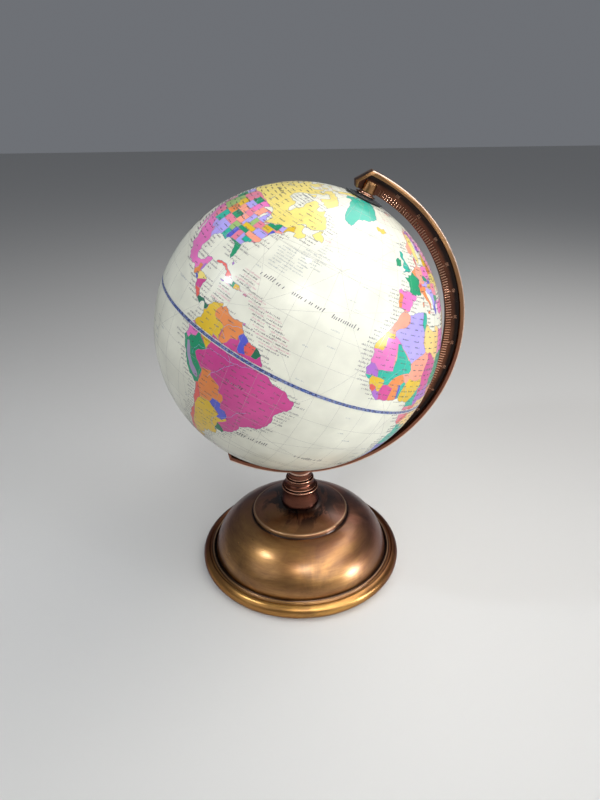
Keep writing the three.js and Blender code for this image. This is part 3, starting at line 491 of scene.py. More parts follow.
class Shader:
    """A material and its Principled shader, with short calls for the nodes used here."""

    def __init__(self, name, **plain):
        self.mat = bpy.data.materials.new(name)
        self.mat.use_nodes = True
        self.tree = self.mat.node_tree
        self.main = self.tree.nodes["Principled BSDF"]
        for socket, value in plain.items():
            self.main.inputs[socket.replace("_", " ")].default_value = value

    def add(self, kind, **settings):
        node = self.tree.nodes.new("ShaderNode" + kind)
        for name, value in settings.items():
            setattr(node, name, value)
        return node

    def join(self, source, target):
        self.tree.links.new(source, target)

    def place(self, origin=(0, 0, 0), stretch=(1, 1, 1), turn=0.0):
        """Points of the piece from an origin in metres, turned about +Y, then stretched."""
        where = self.add("TexCoord").outputs["Object"]
        moved = self.add("Mapping", vector_type="TEXTURE")
        moved.inputs["Location"].default_value = origin
        moved.inputs["Rotation"].default_value = (0, turn, 0)
        scaled = self.add("Mapping")
        scaled.inputs["Scale"].default_value = stretch
        self.join(where, moved.inputs["Vector"])
        self.join(moved.outputs["Vector"], scaled.inputs["Vector"])
        return scaled.outputs["Vector"]

    def noise(self, scale, where=None, detail=4.0, rough=0.55, warp=0.0):
        node = self.add("TexNoise")
        node.inputs["Scale"].default_value = scale
        node.inputs["Detail"].default_value = detail
        node.inputs["Roughness"].default_value = rough
        node.inputs["Distortion"].default_value = warp
        self.join(where or self.add("TexCoord").outputs["Object"], node.inputs["Vector"])
        return node.outputs["Fac"]

    def span(self, value, low, high, to_low=0.0, to_high=1.0):
        """Maps low..high to to_low..to_high, held at its ends."""
        node = self.add("MapRange")
        for socket, number in zip(node.inputs[1:5], (low, high, to_low, to_high)):
            socket.default_value = number
        self.join(value, node.inputs[0])
        return node.outputs[0]

    def math(self, operation, a, b):
        node = self.add("Math", operation=operation)
        for socket, value in zip(node.inputs, (a, b)):
            if isinstance(value, (int, float)):
                socket.default_value = value
            else:
                self.join(value, socket)
        return node.outputs[0]

    def length(self, a, b):
        """The root of the sum of two squares."""
        squares = [self.math("POWER", side, 2) for side in (a, b)]
        return self.math("SQRT", self.math("ADD", *squares), 0)

    def axes(self, where):
        """The X, Y and Z of a place."""
        node = self.add("SeparateXYZ")
        self.join(where, node.inputs[0])
        return node.outputs

    def mix(self, factor, a, b):
        """Two colours mixed, each given as its linear values or as a socket."""
        node = self.add("Mix", data_type="RGBA")
        for socket, value in ((node.inputs[0], factor), (node.inputs[6], a), (node.inputs[7], b)):
            if isinstance(value, bpy.types.NodeSocket):
                self.join(value, socket)
            else:
                socket.default_value = value
        return node.outputs[2]

    def colour(self, socket):
        self.join(socket, self.main.inputs["Base Color"])

    def rough(self, socket):
        self.join(socket, self.main.inputs["Roughness"])

    def bump(self, height, strength, depth_mm):
        node = self.add("Bump")
        node.inputs["Strength"].default_value = strength
        node.inputs["Distance"].default_value = depth_mm * MM
        self.join(height, node.inputs["Height"])
        self.join(node.outputs["Normal"], self.main.inputs["Normal"])


def printed(name, paint, wash=0.06):
    """Ink on the ball under clear lacquer: slight mottle, fine print grain, faint ripple."""
    s = Shader(name, Coat_Weight=0.32, Coat_Roughness=0.1, Specular_IOR_Level=0.4)
    ink = linear(paint)
    pale = [min(1, c * (1 + wash) + 0.02) for c in ink[:3]] + [1]
    deep = [c * (1 - 2 * wash) for c in ink[:3]] + [1]
    cloud = s.span(s.noise(34, detail=3), 0.35, 0.65)
    grain = s.span(s.noise(1500, detail=2), 0.4, 0.6)
    tone = s.mix(cloud, deep, pale)
    s.colour(s.mix(s.math("MULTIPLY", grain, 0.16), tone, deep))
    s.rough(s.span(s.noise(60, detail=2), 0.3, 0.7, 0.34, 0.42))
    s.bump(s.noise(220, detail=2), 0.12, 0.05)
    return s.mat


def fine_ink(name, paint):
    """Thin printed line work."""
    s = Shader(name, Coat_Weight=0.3, Coat_Roughness=0.2)
    ink = linear(paint)
    pale = [c + (1 - c) * 0.18 for c in ink[:3]] + [1]
    s.colour(s.mix(s.span(s.noise(700, detail=2), 0.4, 0.62), ink, pale))
    s.rough(s.span(s.noise(90), 0.3, 0.7, 0.34, 0.44))
    return s.mat


def antique(name, bright, worn, dark, rough, centre=(0, 0, 0), turn=0.0, flat=9.0):
    """Plated metal rubbed back by hand, with lacquer over it: long streaks round the axis of
    the piece, blotches of patina, and fine scratches. Gives the shader, its colour, its places
    in metres from the centre, and its blotches, for more to be added."""
    s = Shader(name, Metallic=1.0, Coat_Weight=0.4, Coat_Roughness=0.26)
    s.main.inputs["Specular Tint"].default_value = linear("8a7468")
    plain = s.place(centre, (1, 1, 1), turn)
    streaks = s.noise(16, s.place(centre, (1, 1, flat), turn), detail=6, rough=0.62, warp=0.5)
    blotch = s.noise(24, plain, detail=5, rough=0.6, warp=0.9)
    fine = s.noise(420, s.place(centre, (0.35, 0.35, 2.4), turn), detail=3)
    tone = s.mix(s.span(streaks, 0.34, 0.66), linear(worn), linear(bright))
    tone = s.mix(s.span(blotch, 0.48, 0.76, 0, 0.7), tone, linear(dark))
    tone = s.mix(s.span(fine, 0.35, 0.75, 0, 0.2), tone, linear(dark))
    wear = s.math("ADD", s.math("MULTIPLY", blotch, 0.6), s.math("MULTIPLY", fine, 0.4))
    s.rough(s.span(wear, 0.35, 0.65, *rough))
    s.bump(fine, 0.1, 0.03)
    return s, tone, plain, blotch


def grooved(s, tone, plain, blotch, paint, grooves, strength=0.9):
    """Soft rings of colour laid over the tone: dark in the grooves, as patina and painted shade, and
    pale along the edges, as painted highlights. Each ring is given as its radius, height and reach in
    millimetres."""
    x, y, z = s.axes(plain)
    radius = s.length(x, y)
    shade = None
    for groove_r, groove_z, reach in grooves:
        out = s.math("SUBTRACT", radius, groove_r * MM)
        above = s.math("SUBTRACT", z, groove_z * MM)
        away = s.length(out, above)
        ragged = s.math("ADD", away, s.math("MULTIPLY", blotch, reach * 0.7 * MM))
        near = s.span(ragged, reach * 0.55 * MM, reach * 1.5 * MM, 1, 0)
        shade = near if shade is None else s.math("MAXIMUM", shade, near)
    return s.mix(s.math("MULTIPLY", shade, strength), tone, linear(paint))


# Rings of patina and painted shade in the grooves and under the rim, and of painted highlight along
# the edges: radius, height and reach in millimetres.
BASE_GROOVES = ((71.5, 10.4, 2.6), (38.8, 42.8, 1.7), (15.4, 52, 5), (79, 1, 4))
BASE_EDGES = ((72.7, 12.2, 0.7), (37.6, 46.1, 0.9))
NECK_GROOVES = ((15.5, 51.8, 1.5), (13, 67.8, 0.8), (10.6, 75.8, 0.7))
NECK_EDGES = ((14.5, 66.9, 0.7), (13.2, 68.8, 0.5), (11.1, 74.9, 0.6), (9.9, 76.6, 0.5))


def bronze_finish():
    """The base, with painted light and shade: golden on the front, which faces the light, darker red
    towards the crown, the right and the back, darker at the far sides, and a painted dark reflection
    round the neck.
    """
    s, tone, plain, blotch = antique("antique_bronze", "bd8a4a", "8a5a2f", "2c1a10", (0.27, 0.44))
    s.main.inputs["Coat Weight"].default_value = 0.9
    x, y, z = s.axes(plain)
    # Painted light and shade: golden on the front, where light falls, and darker red towards the back,
    # the right and the crown.
    leaning = s.math("ADD", y, s.math("MULTIPLY", x, 0.45))
    leaning = s.math("ADD", leaning, s.math("MULTIPLY", z, 0.9))
    ragged = s.math("ADD", leaning, s.math("MULTIPLY", blotch, 0.06))
    red = s.mix(s.span(blotch, 0.4, 0.62), linear("5f3422"), linear("98604a"))
    tone = s.mix(s.span(ragged, 0.005, 0.075, 0, 0.9), tone, red)
    # Painted shade: darker towards the far left and right of the dome.
    aside = s.math("ABSOLUTE", x, 0)
    tone = s.mix(s.span(aside, 0.046, 0.072, 0, 0.6), tone, linear("4f3019"))
    # Painted reflection of the ball's dark underside on the crown, round the neck.
    tone = s.mix(s.math("MULTIPLY", crown_smudge(s), 0.85), tone, linear("24140d"))
    # Patina and painted shade in the grooves and under the rim.
    tone = grooved(s, tone, plain, blotch, "24140d", BASE_GROOVES)
    # Painted highlights along the lip's and the step's edges.
    s.colour(grooved(s, tone, plain, blotch, "e2b98c", BASE_EDGES, 0.5))
    return s.mat


def crown_smudge(s):
    """Painted reflection of the ball's dark underside: dark streaks on the crown, round the neck."""
    crown = (0, 0, 0.05)
    swept = s.noise(62, s.place(crown, (1, 0.4, 1)), detail=6, rough=0.62, warp=1.2)
    around = s.add("VectorMath", operation="LENGTH")
    s.join(s.place(crown), around.inputs[0])
    near = s.span(around.outputs["Value"], 0.024, 0.038, 1, 0)
    return s.math("MULTIPLY", s.span(swept, 0.46, 0.53), near)


def bead_finish():
    """The base's rolled rim: golden at the front, as a painted highlight, and darker brown elsewhere.
    """
    s, tone, plain, blotch = antique("bead_bronze", "cf9b52", "9c6a34", "3a2112", (0.28, 0.38))
    ragged = s.math("ADD", s.axes(plain)[1], s.math("MULTIPLY", blotch, 0.05))
    # Painted highlight: golden on the front of the rim, darker brown towards the back.
    s.colour(s.mix(s.span(ragged, -0.04, 0.015, 0, 0.88), tone, linear("6b3d27")))
    return s.mat


def copper_finish(name, bright, worn, dark, grooves=(), edges=()):
    s, tone, plain, blotch = antique(name, bright, worn, dark, (0.16, 0.32), flat=3)
    if grooves:
        # Patina and painted shade in the grooves.
        tone = grooved(s, tone, plain, blotch, dark, grooves)
    if edges:
        # Painted highlights along the edges.
        tone = grooved(s, tone, plain, blotch, "e0a88c", edges, 0.8)
    s.colour(tone)
    return s.mat


def arm_finish():
    """The arm: painted shade on the plate next to the rim, the rim lighter copper turning golden
    towards the north end, and a painted highlight along the rim's outer corner.
    """
    s, tone, plain, blotch = antique(
        "arm_copper", "7c4a31", "56301f", "20100a", (0.26, 0.42), tuple(CENTRE), TILT, 1.5
    )
    x, y, z = s.axes(plain)
    radius = s.length(x, z)
    aside = s.math("ABSOLUTE", y, 0)
    away = s.math("ADD", radius, s.math("MULTIPLY", blotch, 0.0016))
    rim = s.math("MAXIMUM", s.span(aside, 0.0018, 0.0024), s.span(radius, 0.1143, 0.1149))
    golden = s.mix(s.span(z, 0.03, 0.1), linear("86503a"), linear("b98a58"))
    tone = s.mix(s.math("MULTIPLY", rim, 0.7), tone, golden)
    # Painted shade: the plate darkened next to the rim, where the rim shades it.
    deep = s.math("MULTIPLY", s.span(away, 0.1105, 0.1128), s.span(rim, 0, 1, 1, 0))
    tone = s.mix(s.math("MULTIPLY", deep, 0.93), tone, linear("120805"))
    # Painted highlight: a pale line along the rim's outer corner, where it catches the light.
    painted_edge_highlight = s.math("MULTIPLY", s.span(aside, 0.0048, 0.0052), s.span(radius, 0.1164, 0.1168))
    s.colour(s.mix(s.math("MULTIPLY", painted_edge_highlight, 0.9), tone, linear("f3d5c2")))
    return s.mat


def plain_metal(name, paint, roughness):
    """Bare machined or ground metal with fine marks."""
    s = Shader(name, Metallic=1.0)
    base = linear(paint)
    dull = [c * 0.7 for c in base[:3]] + [1]
    marks = s.noise(300, s.place(stretch=(1, 1, 6)), detail=4)
    s.colour(s.mix(s.span(marks, 0.35, 0.7), base, dull))
    s.rough(s.span(marks, 0.3, 0.7, roughness, roughness + 0.16))
    s.bump(marks, 0.2, 0.03)
    return s.mat


def moulded(name, paint, roughness):
    """Moulded plastic with a fine sparked texture."""
    s = Shader(name)
    base = linear(paint)
    light = [min(1, c * 1.25 + 0.004) for c in base[:3]] + [1]
    texture = s.noise(900, detail=3)
    s.colour(s.mix(s.span(s.noise(60), 0.35, 0.7), base, light))
    s.rough(s.span(texture, 0.3, 0.7, roughness, roughness + 0.12))
    s.bump(texture, 0.15, 0.04)
    return s.mat


def fibrous(name, paint, scale, depth_mm):
    """Felt or fibreboard: matted fibres."""
    s = Shader(name, Sheen_Weight=0.3)
    base = linear(paint)
    light = [min(1, c * 1.9 + 0.01) for c in base[:3]] + [1]
    fibres = s.noise(scale, detail=8, rough=0.75, warp=1.5)
    s.colour(s.mix(s.span(fibres, 0.4, 0.68), base, light))
    s.rough(s.span(fibres, 0.3, 0.7, 0.86, 1.0))
    s.bump(fibres, 0.7, depth_mm)
    return s.mat


inks = {name: printed("print_" + name, paint) for name, paint in INKS.items()}
bronze = bronze_finish()
bead_bronze = bead_finish()
copper = copper_finish("neck_copper", "74402a", "4c2416", "1d0d08", NECK_GROOVES, NECK_EDGES)
arm_copper = arm_finish()
arm_raised = copper_finish("arm_raised", "d4a184", "b07a5c", "6a4030")
sleeve_copper = copper_finish("sleeve_copper", "e6bda4", "bd8a6e", "6a4030")
pin_steel = plain_metal("pin_steel", "b9bbbe", 0.25)
zinc_steel = plain_metal("zinc_steel", "a8abad", 0.34)
turned_brass = plain_metal("turned_brass", "c9a45a", 0.28)
cast_iron = moulded("cast_iron", "2c2c2e", 0.75)
inner_plastic = moulded("inner_plastic", "d6d6cf", 0.5)
hub_plastic = moulded("hub_plastic", "26272a", 0.5)
dial_plastic = moulded("dial_plastic", "23282a", 0.3)
dial_ink = fine_ink("dial_ink", "70767a")
felt = fibrous("felt", "1c1c20", 900, 0.25)
board = fibrous("board", "7b5c3a", 260, 0.1)
grid_ink = fine_ink("grid_ink", "96948c")
border_ink = fine_ink("border_ink", "8d7482")
coast_ink = fine_ink("coast_ink", "5f6f86")
label_ink = fine_ink("label_ink", "2f2b36")
grey_ink = fine_ink("grey_ink", "9ba1a0")
rose_ink = fine_ink("rose_ink", "cf8f9c")
river_ink = fine_ink("river_ink", "6f9ac4")
tape_blue = fine_ink("tape_blue", "14327e")
tape_pale = fine_ink("tape_pale", "3c62ae")
tape_ivory = fine_ink("tape_ivory", "dfe1cf")
tape_dark = fine_ink("tape_dark", "1c2440")

# ---------------------------------------------------------------- making pieces


def as_object(bm, name, body, materials, place=STAND, sharp=34):
    """Turns a bmesh in millimetres into a piece that rides on a body. Edges that turn by more
    than sharp degrees are crisp, and the rest are smooth."""
    bm.transform(place)
    bmesh.ops.recalc_face_normals(bm, faces=bm.faces)
    if bm.calc_volume(signed=True) < 0:
        bmesh.ops.reverse_faces(bm, faces=bm.faces)
    limit = math.radians(sharp)
    for edge in bm.edges:
        edge.smooth = len(edge.link_faces) == 2 and edge.calc_face_angle(0) < limit
    for face in bm.faces:
        face.smooth = True
    mesh = mesh_from(bm, name)
    for material in materials:
        mesh.materials.append(material)
    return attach(linked(name, mesh), body)


def stands_for(node):
    """The piece is shown in a CAD node's place, so the node is hidden."""
    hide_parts(node)


def arc(cx, cy, radius, a, b, steps=8):
    """Points along a circular arc in a profile, from angle a to angle b in degrees."""
    angles = [math.radians(a + (b - a) * i / steps) for i in range(steps + 1)]
    return [(cx + radius * math.cos(t), cy + radius * math.sin(t)) for t in angles]


def bulge(start, end, sag, steps=16):
    """Points from start to end on an arc that stands off to the right of the way by sag."""
    start, end = Vector(start), Vector(end)
    side = Vector((end.y - start.y, start.x - end.x)).normalized()
    half = (end - start).length / 2
    radius = (half * half + sag * sag) / (2 * sag)
    centre = (start + end) / 2 - side * (radius - sag)
    first = (start - centre) / radius
    sweep = 2 * math.asin(half / radius)
    return [
        tuple(centre + radius * (Matrix.Rotation(sweep * i / steps, 2) @ first))
        for i in range(steps + 1)
    ]


def softened(profile, radius):
    """A closed profile with each sharp corner rounded, so that its edges catch the light."""
    points = [Vector(p) for p in profile]
    result = []
    steps = 3
    for i, here in enumerate(points):
        before, after = points[i - 1], points[(i + 1) % len(points)]
        back, on = before - here, after - here
        turn = math.pi - back.angle(on, math.pi)
        reach = min(radius * math.tan(turn / 2), back.length * 0.45, on.length * 0.45)
        if turn < 0.35:
            result.append(tuple(here))
            continue
        a, b = here + back.normalized() * reach, here + on.normalized() * reach
        for k in range(steps + 1):
            t = k / steps
            result.append(tuple(a * (1 - t) ** 2 + here * 2 * t * (1 - t) + b * t * t))
    return result


def turned(profile, facets, material_at=lambda r, z: 0):
    """A bmesh turned about Z from a closed profile of radius and height pairs. material_at
    gives the material slot for a place on the profile."""
    bm = bmesh.new()
    rings = []
    for i in range(facets):
        t = 2 * math.pi * i / facets
        rings.append([bm.verts.new((r * math.cos(t), r * math.sin(t), z)) for r, z in profile])
    for i, ring in enumerate(rings):
        following = rings[(i + 1) % facets]
        for k in range(len(profile)):
            m = (k + 1) % len(profile)
            face = bm.faces.new((ring[k], following[k], following[m], ring[m]))
            middle = (Vector(profile[k]) + Vector(profile[m])) / 2
            face.material_index = material_at(middle.x, middle.y)
    return bm


def block(bm, corners, low, high):
    """Adds a prism to bm: a flat outline in X and Z, from Y = low to Y = high."""
    front = [bm.verts.new((x, low, z)) for x, z in corners]
    back = [bm.verts.new((x, high, z)) for x, z in corners]
    faces = [bm.faces.new(front), bm.faces.new(back[::-1])]
    for i in range(len(corners)):
        k = (i + 1) % len(corners)
        faces.append(bm.faces.new((front[k], front[i], back[i], back[k])))
    return faces

# ---------------------------------------------------------------- the ball's printed shells


def place_of(text):
    """Longitude and latitude from text such as "-73.5,40"."""
    return tuple(map(float, text.split(",")))


def outlines(text):
    """Every outline in a block of text: its name, its colour and its points."""
    found = []
    for word in text.split():
        if word.endswith(":"):
            name, _, colour = word[:-1].partition("=")
            found.append((name, colour, []))
        else:
            found[-1][2].append(place_of(word))
    return found


def state_boxes(text):
    """The states' boxes, each as a name, a colour and four corners."""
    words = text.split()
    found = []
    for i in range(0, len(words), 3):
        (west, south), (east, north) = map(place_of, words[i + 1 : i + 3])
        corners = [(west, south), (east, south), (east, north), (west, north)]
        found.append((f"state{i}", words[i], corners))
    return found


def wander(a, b, longest, wobble):
    """Points from a up to b, pushed sideways at random so that they wander like a coast."""
    run = math.hypot((b[0] - a[0]) * math.cos(math.radians(a[1])), b[1] - a[1])
    if run < longest:
        return [a]
    push = random.uniform(-wobble, wobble)
    middle = ((a[0] + b[0]) / 2 + (b[1] - a[1]) * push, (a[1] + b[1]) / 2 - (b[0] - a[0]) * push)
    return wander(a, middle, longest, wobble) + wander(middle, b, longest, wobble)


def rough_outline(points, longest, wobble):
    closed = zip(points, points[1:] + points[:1])
    return [p for a, b in closed for p in wander(a, b, longest, wobble)]


# Every region in paint order, with the kind of place that it may be painted on.
REGIONS = []
for kind, listed, longest, wobble in (
    ("mainland", outlines(MAINLANDS), 0.9, 0.16),
    ("country", outlines(COUNTRIES), 1.6, 0.07),
    ("state", state_boxes(STATES), 2.5, 0.0),
    ("lake", outlines(LAKES), 0.9, 0.12),
    ("island", outlines(ISLANDS), 0.9, 0.14),
):
    for name, colour, points in listed:
        REGIONS.append((kind, name, colour, rough_outline(points, longest, wobble)))

INK_NAMES = list(INKS)
LINE_STEP = 3.0  # longest straight stretch of a printed line, in degrees
EDGE_COLAT = math.degrees(math.acos(REBATE / BALL_R))
HOLE_COLAT = math.degrees(math.asin(POLE_HOLE_R / BALL_R))
RIM_SIDES, HOLE_SIDES = 240, 48


def flat(points, south):
    """Longitude and latitude laid flat round the hemisphere's own pole, in degrees from it."""
    p = np.array(points, float).reshape(-1, 2)
    sign = -1 if south else 1
    away = 90 - sign * p[:, 1]
    turn = sign * np.radians(p[:, 0] - FACING)
    return np.stack((away * np.cos(turn), away * np.sin(turn)), 1)


def lifted(points, radius):
    """Flat points put back on a sphere, in the hemisphere's own frame."""
    away = np.hypot(points[:, 0], points[:, 1])
    turn = np.arctan2(points[:, 1], points[:, 0])
    a = np.radians(away)
    return radius * np.stack((np.sin(a) * np.cos(turn), np.sin(a) * np.sin(turn), np.cos(a)), 1)


def inside(points, outline):
    """Which points lie in a closed outline."""
    low, high = outline.min(0), outline.max(0)
    near = np.where(((points > low) & (points < high)).all(1))[0]
    x, y = points[near, 0], points[near, 1]
    odd = np.zeros(len(near), bool)
    for (ax, ay), (bx, by) in zip(outline, np.roll(outline, -1, 0)):
        if ay == by:
            continue
        crosses = (ay > y) != (by > y)
        odd ^= crosses & (x < (bx - ax) * (y - ay) / (by - ay) + ax)
    found = np.zeros(len(points), bool)
    found[near] = odd
    return found


def circle(away, count):
    turns = np.arange(count) * 2 * math.pi / count
    return away * np.stack((np.cos(turns), np.sin(turns)), 1)


def reaches(shape):
    """Whether a flat outline comes into the hemisphere at all."""
    return np.hypot(shape[:, 0], shape[:, 1]).min() <= EDGE_COLAT + 0.5


def map_mesh(south):
    """One hemisphere cut along every outline: flat points, triangles and each one's region,
    which is -1 at sea."""
    shapes = [flat(points, south) for _, _, _, points in REGIONS]
    points, edges = [], []
    limits = [circle(EDGE_COLAT, RIM_SIDES), circle(HOLE_COLAT, HOLE_SIDES)]
    for shape in filter(reaches, shapes + limits):
        first = len(points)
        points += shape.tolist()
        edges += [(first + i, first + (i + 1) % len(shape)) for i in range(len(shape))]
    for ring in range(2, 30):
        points += circle(ring * 3, max(12, int(120 * math.sin(math.radians(ring * 3))))).tolist()
    verts, _, faces, _, _, _ = delaunay_2d_cdt([Vector(p) for p in points], edges, [], 0, 0.004, False)
    verts = np.array([tuple(v) for v in verts])
    faces = np.array(faces)
    middles = verts[faces].mean(1)
    away = np.hypot(middles[:, 0], middles[:, 1])
    kept = (away < EDGE_COLAT) & (away > HOLE_COLAT)
    return verts, faces[kept], painted(middles[kept], shapes)


def painted(middles, shapes):
    """The region that each triangle ends up in, once all are painted in order. Countries only
    take on land, and states only within their country."""
    region = np.full(len(middles), -1)
    land = np.zeros(len(middles), bool)
    may_hold_states = [[name for _, name, _, _ in REGIONS].index("usa")]
    for i, ((kind, _, _, _), shape) in enumerate(zip(REGIONS, shapes)):
        if not reaches(shape):
            continue
        hit = inside(middles, shape)
        if kind == "mainland":
            land |= hit
        elif kind == "country":
            hit &= land
        elif kind == "state":
            hit &= land & np.isin(region, may_hold_states)
            may_hold_states.append(i)
        region[hit] = -1 if kind == "lake" else i
    return region


def cut_lines(faces, region):
    """The mesh edges between two regions: coasts, and borders between countries or states."""
    owner = {}
    coasts, borders = [], []
    for face, place in zip(faces.tolist(), region.tolist()):
        for i in range(3):
            edge = tuple(sorted((face[i], face[(i + 1) % 3])))
            other = owner.setdefault(edge, place)
            if other != place:
                (coasts if -1 in (other, place) else borders).append(edge)
    return coasts, borders


def shell_profile():
    """The closed edge of a hemisphere and its inner wall, as radius and height pairs."""
    inner = BALL_R - WALL
    start = math.degrees(math.asin(SEAM / inner))
    end = math.degrees(math.acos(POLE_HOLE_R / inner))
    return [(99.2, REBATE), (99.2, SEAM)] + arc(0, 0, inner, start, end, 24)


def add_wall(bm):
    """Grows the edge and the inner wall of a hemisphere from its printed surface."""
    rims = [e for e in bm.edges if e.is_boundary]
    hole = [e for e in rims if e.verts[0].co.z > BALL_R * 0.9]
    rim = [e for e in rims if e.verts[0].co.z < BALL_R * 0.9]
    plain = []
    for radius, height in shell_profile():
        grown = bmesh.ops.extrude_edge_only(bm, edges=rim)["geom"]
        for vert in (g for g in grown if isinstance(g, bmesh.types.BMVert)):
            scale = radius / math.hypot(vert.co.x, vert.co.y)
            vert.co = (vert.co.x * scale, vert.co.y * scale, height)
        rim = [g for g in grown if isinstance(g, bmesh.types.BMEdge) and g.is_boundary]
        plain += [g for g in grown if isinstance(g, bmesh.types.BMFace)]
    plain += bmesh.ops.bridge_loops(bm, edges=rim + hole)["faces"]
    for face in plain:
        face.material_index = len(INK_NAMES)


def hemisphere(name, node, south):
    """A printed hemisphere: the map outside, a rebated edge, and a plain wall inside."""
    verts, faces, region = map_mesh(south)
    surface = lifted(verts, BALL_R)
    bm = bmesh.new()
    used = sorted(set(faces.ravel().tolist()))
    made = {i: bm.verts.new(surface[i]) for i in used}
    for face, place in zip(faces.tolist(), region.tolist()):
        shown = bm.faces.new([made[i] for i in face])
        colour = "ocean" if place < 0 else REGIONS[place][2]
        shown.material_index = INK_NAMES.index(colour)
    add_wall(bm)
    place = SOUTH if south else POLAR
    materials = list(inks.values()) + [inner_plastic]
    piece = as_object(bm, name, "globe", materials, place, sharp=40)
    round_normals(piece)
    stands_for(node)
    return verts, cut_lines(faces, region)


def round_normals(piece):
    """Gives the printed faces the sphere's own normals, so that thin triangles don't show."""
    mesh = piece.data
    normals = [tuple(n.vector) for n in mesh.corner_normals]
    for face in mesh.polygons:
        if face.material_index < len(INK_NAMES):
            for loop in face.loop_indices:
                away = mesh.vertices[mesh.loops[loop].vertex_index].co - CENTRE
                normals[loop] = tuple(away.normalized())
    mesh.normals_split_custom_set(normals)


class Ink:
    """Collects fine printed lines and makes one piece of them. Each line is a shallow wedge:
    its top lies just over the printed surface and its keel lies in the wall."""

    def __init__(self, name, width, lift=0.05):
        self.name = name
        self.width = width
        self.lift = lift
        self.verts = []
        self.faces = []

    def station(self, at, along):
        across = along.cross(at).normalized() * (self.width / 2)
        top = (BALL_R + self.lift) * at
        self.verts += [top - across, top + across, (BALL_R - 0.12) * at]

    def line(self, directions):
        """A line through unit vectors in the ball's frame."""
        first = len(self.verts)
        for i, at in enumerate(directions):
            before = directions[max(0, i - 1)]
            after = directions[min(len(directions) - 1, i + 1)]
            self.station(at, after - before)
        last = len(directions) - 1
        for i in range(last):
            a = first + 3 * i
            b = a + 3
            self.faces += [(a, a + 1, b + 1, b), (a + 1, a + 2, b + 2, b + 1), (a + 2, a, b, b + 2)]
        end = first + 3 * last
        self.faces += [(first, first + 2, first + 1), (end, end + 1, end + 2)]

    def path(self, points):
        """A line through longitude and latitude points, straight on the map between them."""
        directions = []
        for a, b in zip(points, points[1:]):
            parts = max(1, math.ceil(math.hypot(b[0] - a[0], b[1] - a[1]) / LINE_STEP))
            for k in range(parts):
                t = k / parts
                directions.append(direction(a[0] + (b[0] - a[0]) * t, a[1] + (b[1] - a[1]) * t))
        directions.append(direction(*points[-1]))
        self.line(directions)

    def arc(self, a, b, bow):
        """A ship's route from a to b: a great circle, bowed to its left by bow of its length."""
        start, end = direction(*a), direction(*b)
        angle = start.angle(end)
        side = start.cross(end).normalized()
        parts = max(2, math.ceil(math.degrees(angle) / LINE_STEP))
        line = []
        for k in range(parts + 1):
            t = k / parts
            on = start.slerp(end, t) + side * (bow * angle * 4 * t * (1 - t))
            line.append(on.normalized())
        self.line(line)

    def piece(self, material):
        mesh = bpy.data.meshes.new(self.name)
        mesh.from_pydata([tuple(POLAR @ v) for v in self.verts], [], self.faces)
        mesh.materials.append(material)
        for face in mesh.polygons:
            face.use_smooth = True
        outward = [(v.co - CENTRE).normalized() for v in mesh.vertices]
        mesh.normals_split_custom_set_from_vertices([tuple(n) for n in outward])
        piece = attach(linked(self.name, mesh), "globe")


def direction(lon, lat):
    """Unit vector in the ball's frame."""
    turn, up = math.radians(lon - FACING), math.radians(lat)
    return Vector((math.cos(up) * math.cos(turn), math.cos(up) * math.sin(turn), math.sin(up)))


north_map = hemisphere("north_shell", "north_hemisphere", False)
south_map = hemisphere("south_shell", "south_hemisphere", True)

coast_lines = Ink("coast_lines", 0.22)
border_lines = Ink("border_lines", 0.16)
for (flat_points, (coasts, borders)), turn in ((north_map, False), (south_map, True)):
    around = lifted(flat_points, 1.0)
    if turn:
        around = around * (1, -1, -1)
    for ink, cut in ((coast_lines, coasts), (border_lines, borders)):
        for a, b in cut:
            ink.line([Vector(around[a]), Vector(around[b])])
coast_lines.piece(coast_ink)
border_lines.piece(border_ink)

# ---------------------------------------------------------------- printed line work

LANDS = [np.array(points) for kind, _, _, points in REGIONS if kind == "mainland"]
ISLES = [np.array(points) for kind, _, _, points in REGIONS if kind == "island"]

# Rivers as longitude,latitude, main stream first.
RIVERS = """
amazon: -50.5,-0.2 -55,-2 -60,-3.2 -66,-3 -70,-4 -73.5,-4.5 -75,-9
negro: -60,-3.2 -62,-1 -67,1 -70,2
madeira: -58.5,-3.3 -62,-7 -65,-10.5 -66,-13
parana: -58.3,-34 -60.5,-32 -58.7,-27.4 -54.5,-25 -51,-20 -48,-18
orinoco: -61,9 -66,7.6 -67.5,5 -65,2.7
mississippi: -89.5,29.3 -91.2,31.5 -90.2,35 -89.5,38 -91.3,42 -93,45 -95,47
missouri: -90.3,38.8 -95,39.5 -97,43 -101,47 -108,48 -112,46
mackenzie: -134,69 -128,65.5 -121,61.5 -115,61
nile: 31,31 31.5,26 33,21.5 32.5,15.6 31.5,9.5 32.5,3 33,0
congo: 12.5,-6 16,-3.5 18,0.5 22,2.2 25.3,0 26.5,-6
niger: 6,4.5 6.5,8 3.5,11.5 0,16.5 -4.5,14.5 -9.5,10.5
zambezi: 36,-18.5 32,-16 27,-17.6 23,-14
volga: 47.8,46 44.5,48.6 49,54 44,56.2 38,57
danube: 29.5,45.3 23,43.8 19,46 16,48.2 10,48.5
rhine: 4.5,52 8,50 8,47.6
ob: 69,66.5 65.5,61.5 76,59 82,55
yenisei: 83,71 86,66 92,60 92,56
lena: 126,72 123,66 129,62 118,60
amur: 141,53 135,48.4 125,53 120,50
yangtze: 121.5,31.5 112,30 106,29.5 100,27
huang_he: 118.8,37.6 110,35 110,40 104,36
mekong: 106.5,10 105,16 101,21 98,29
ganges: 90,22.5 85,25.5 78,29
indus: 67.5,24 71,30 74,35
murray: 139.3,-35.4 144,-35.5 149,-31
"""

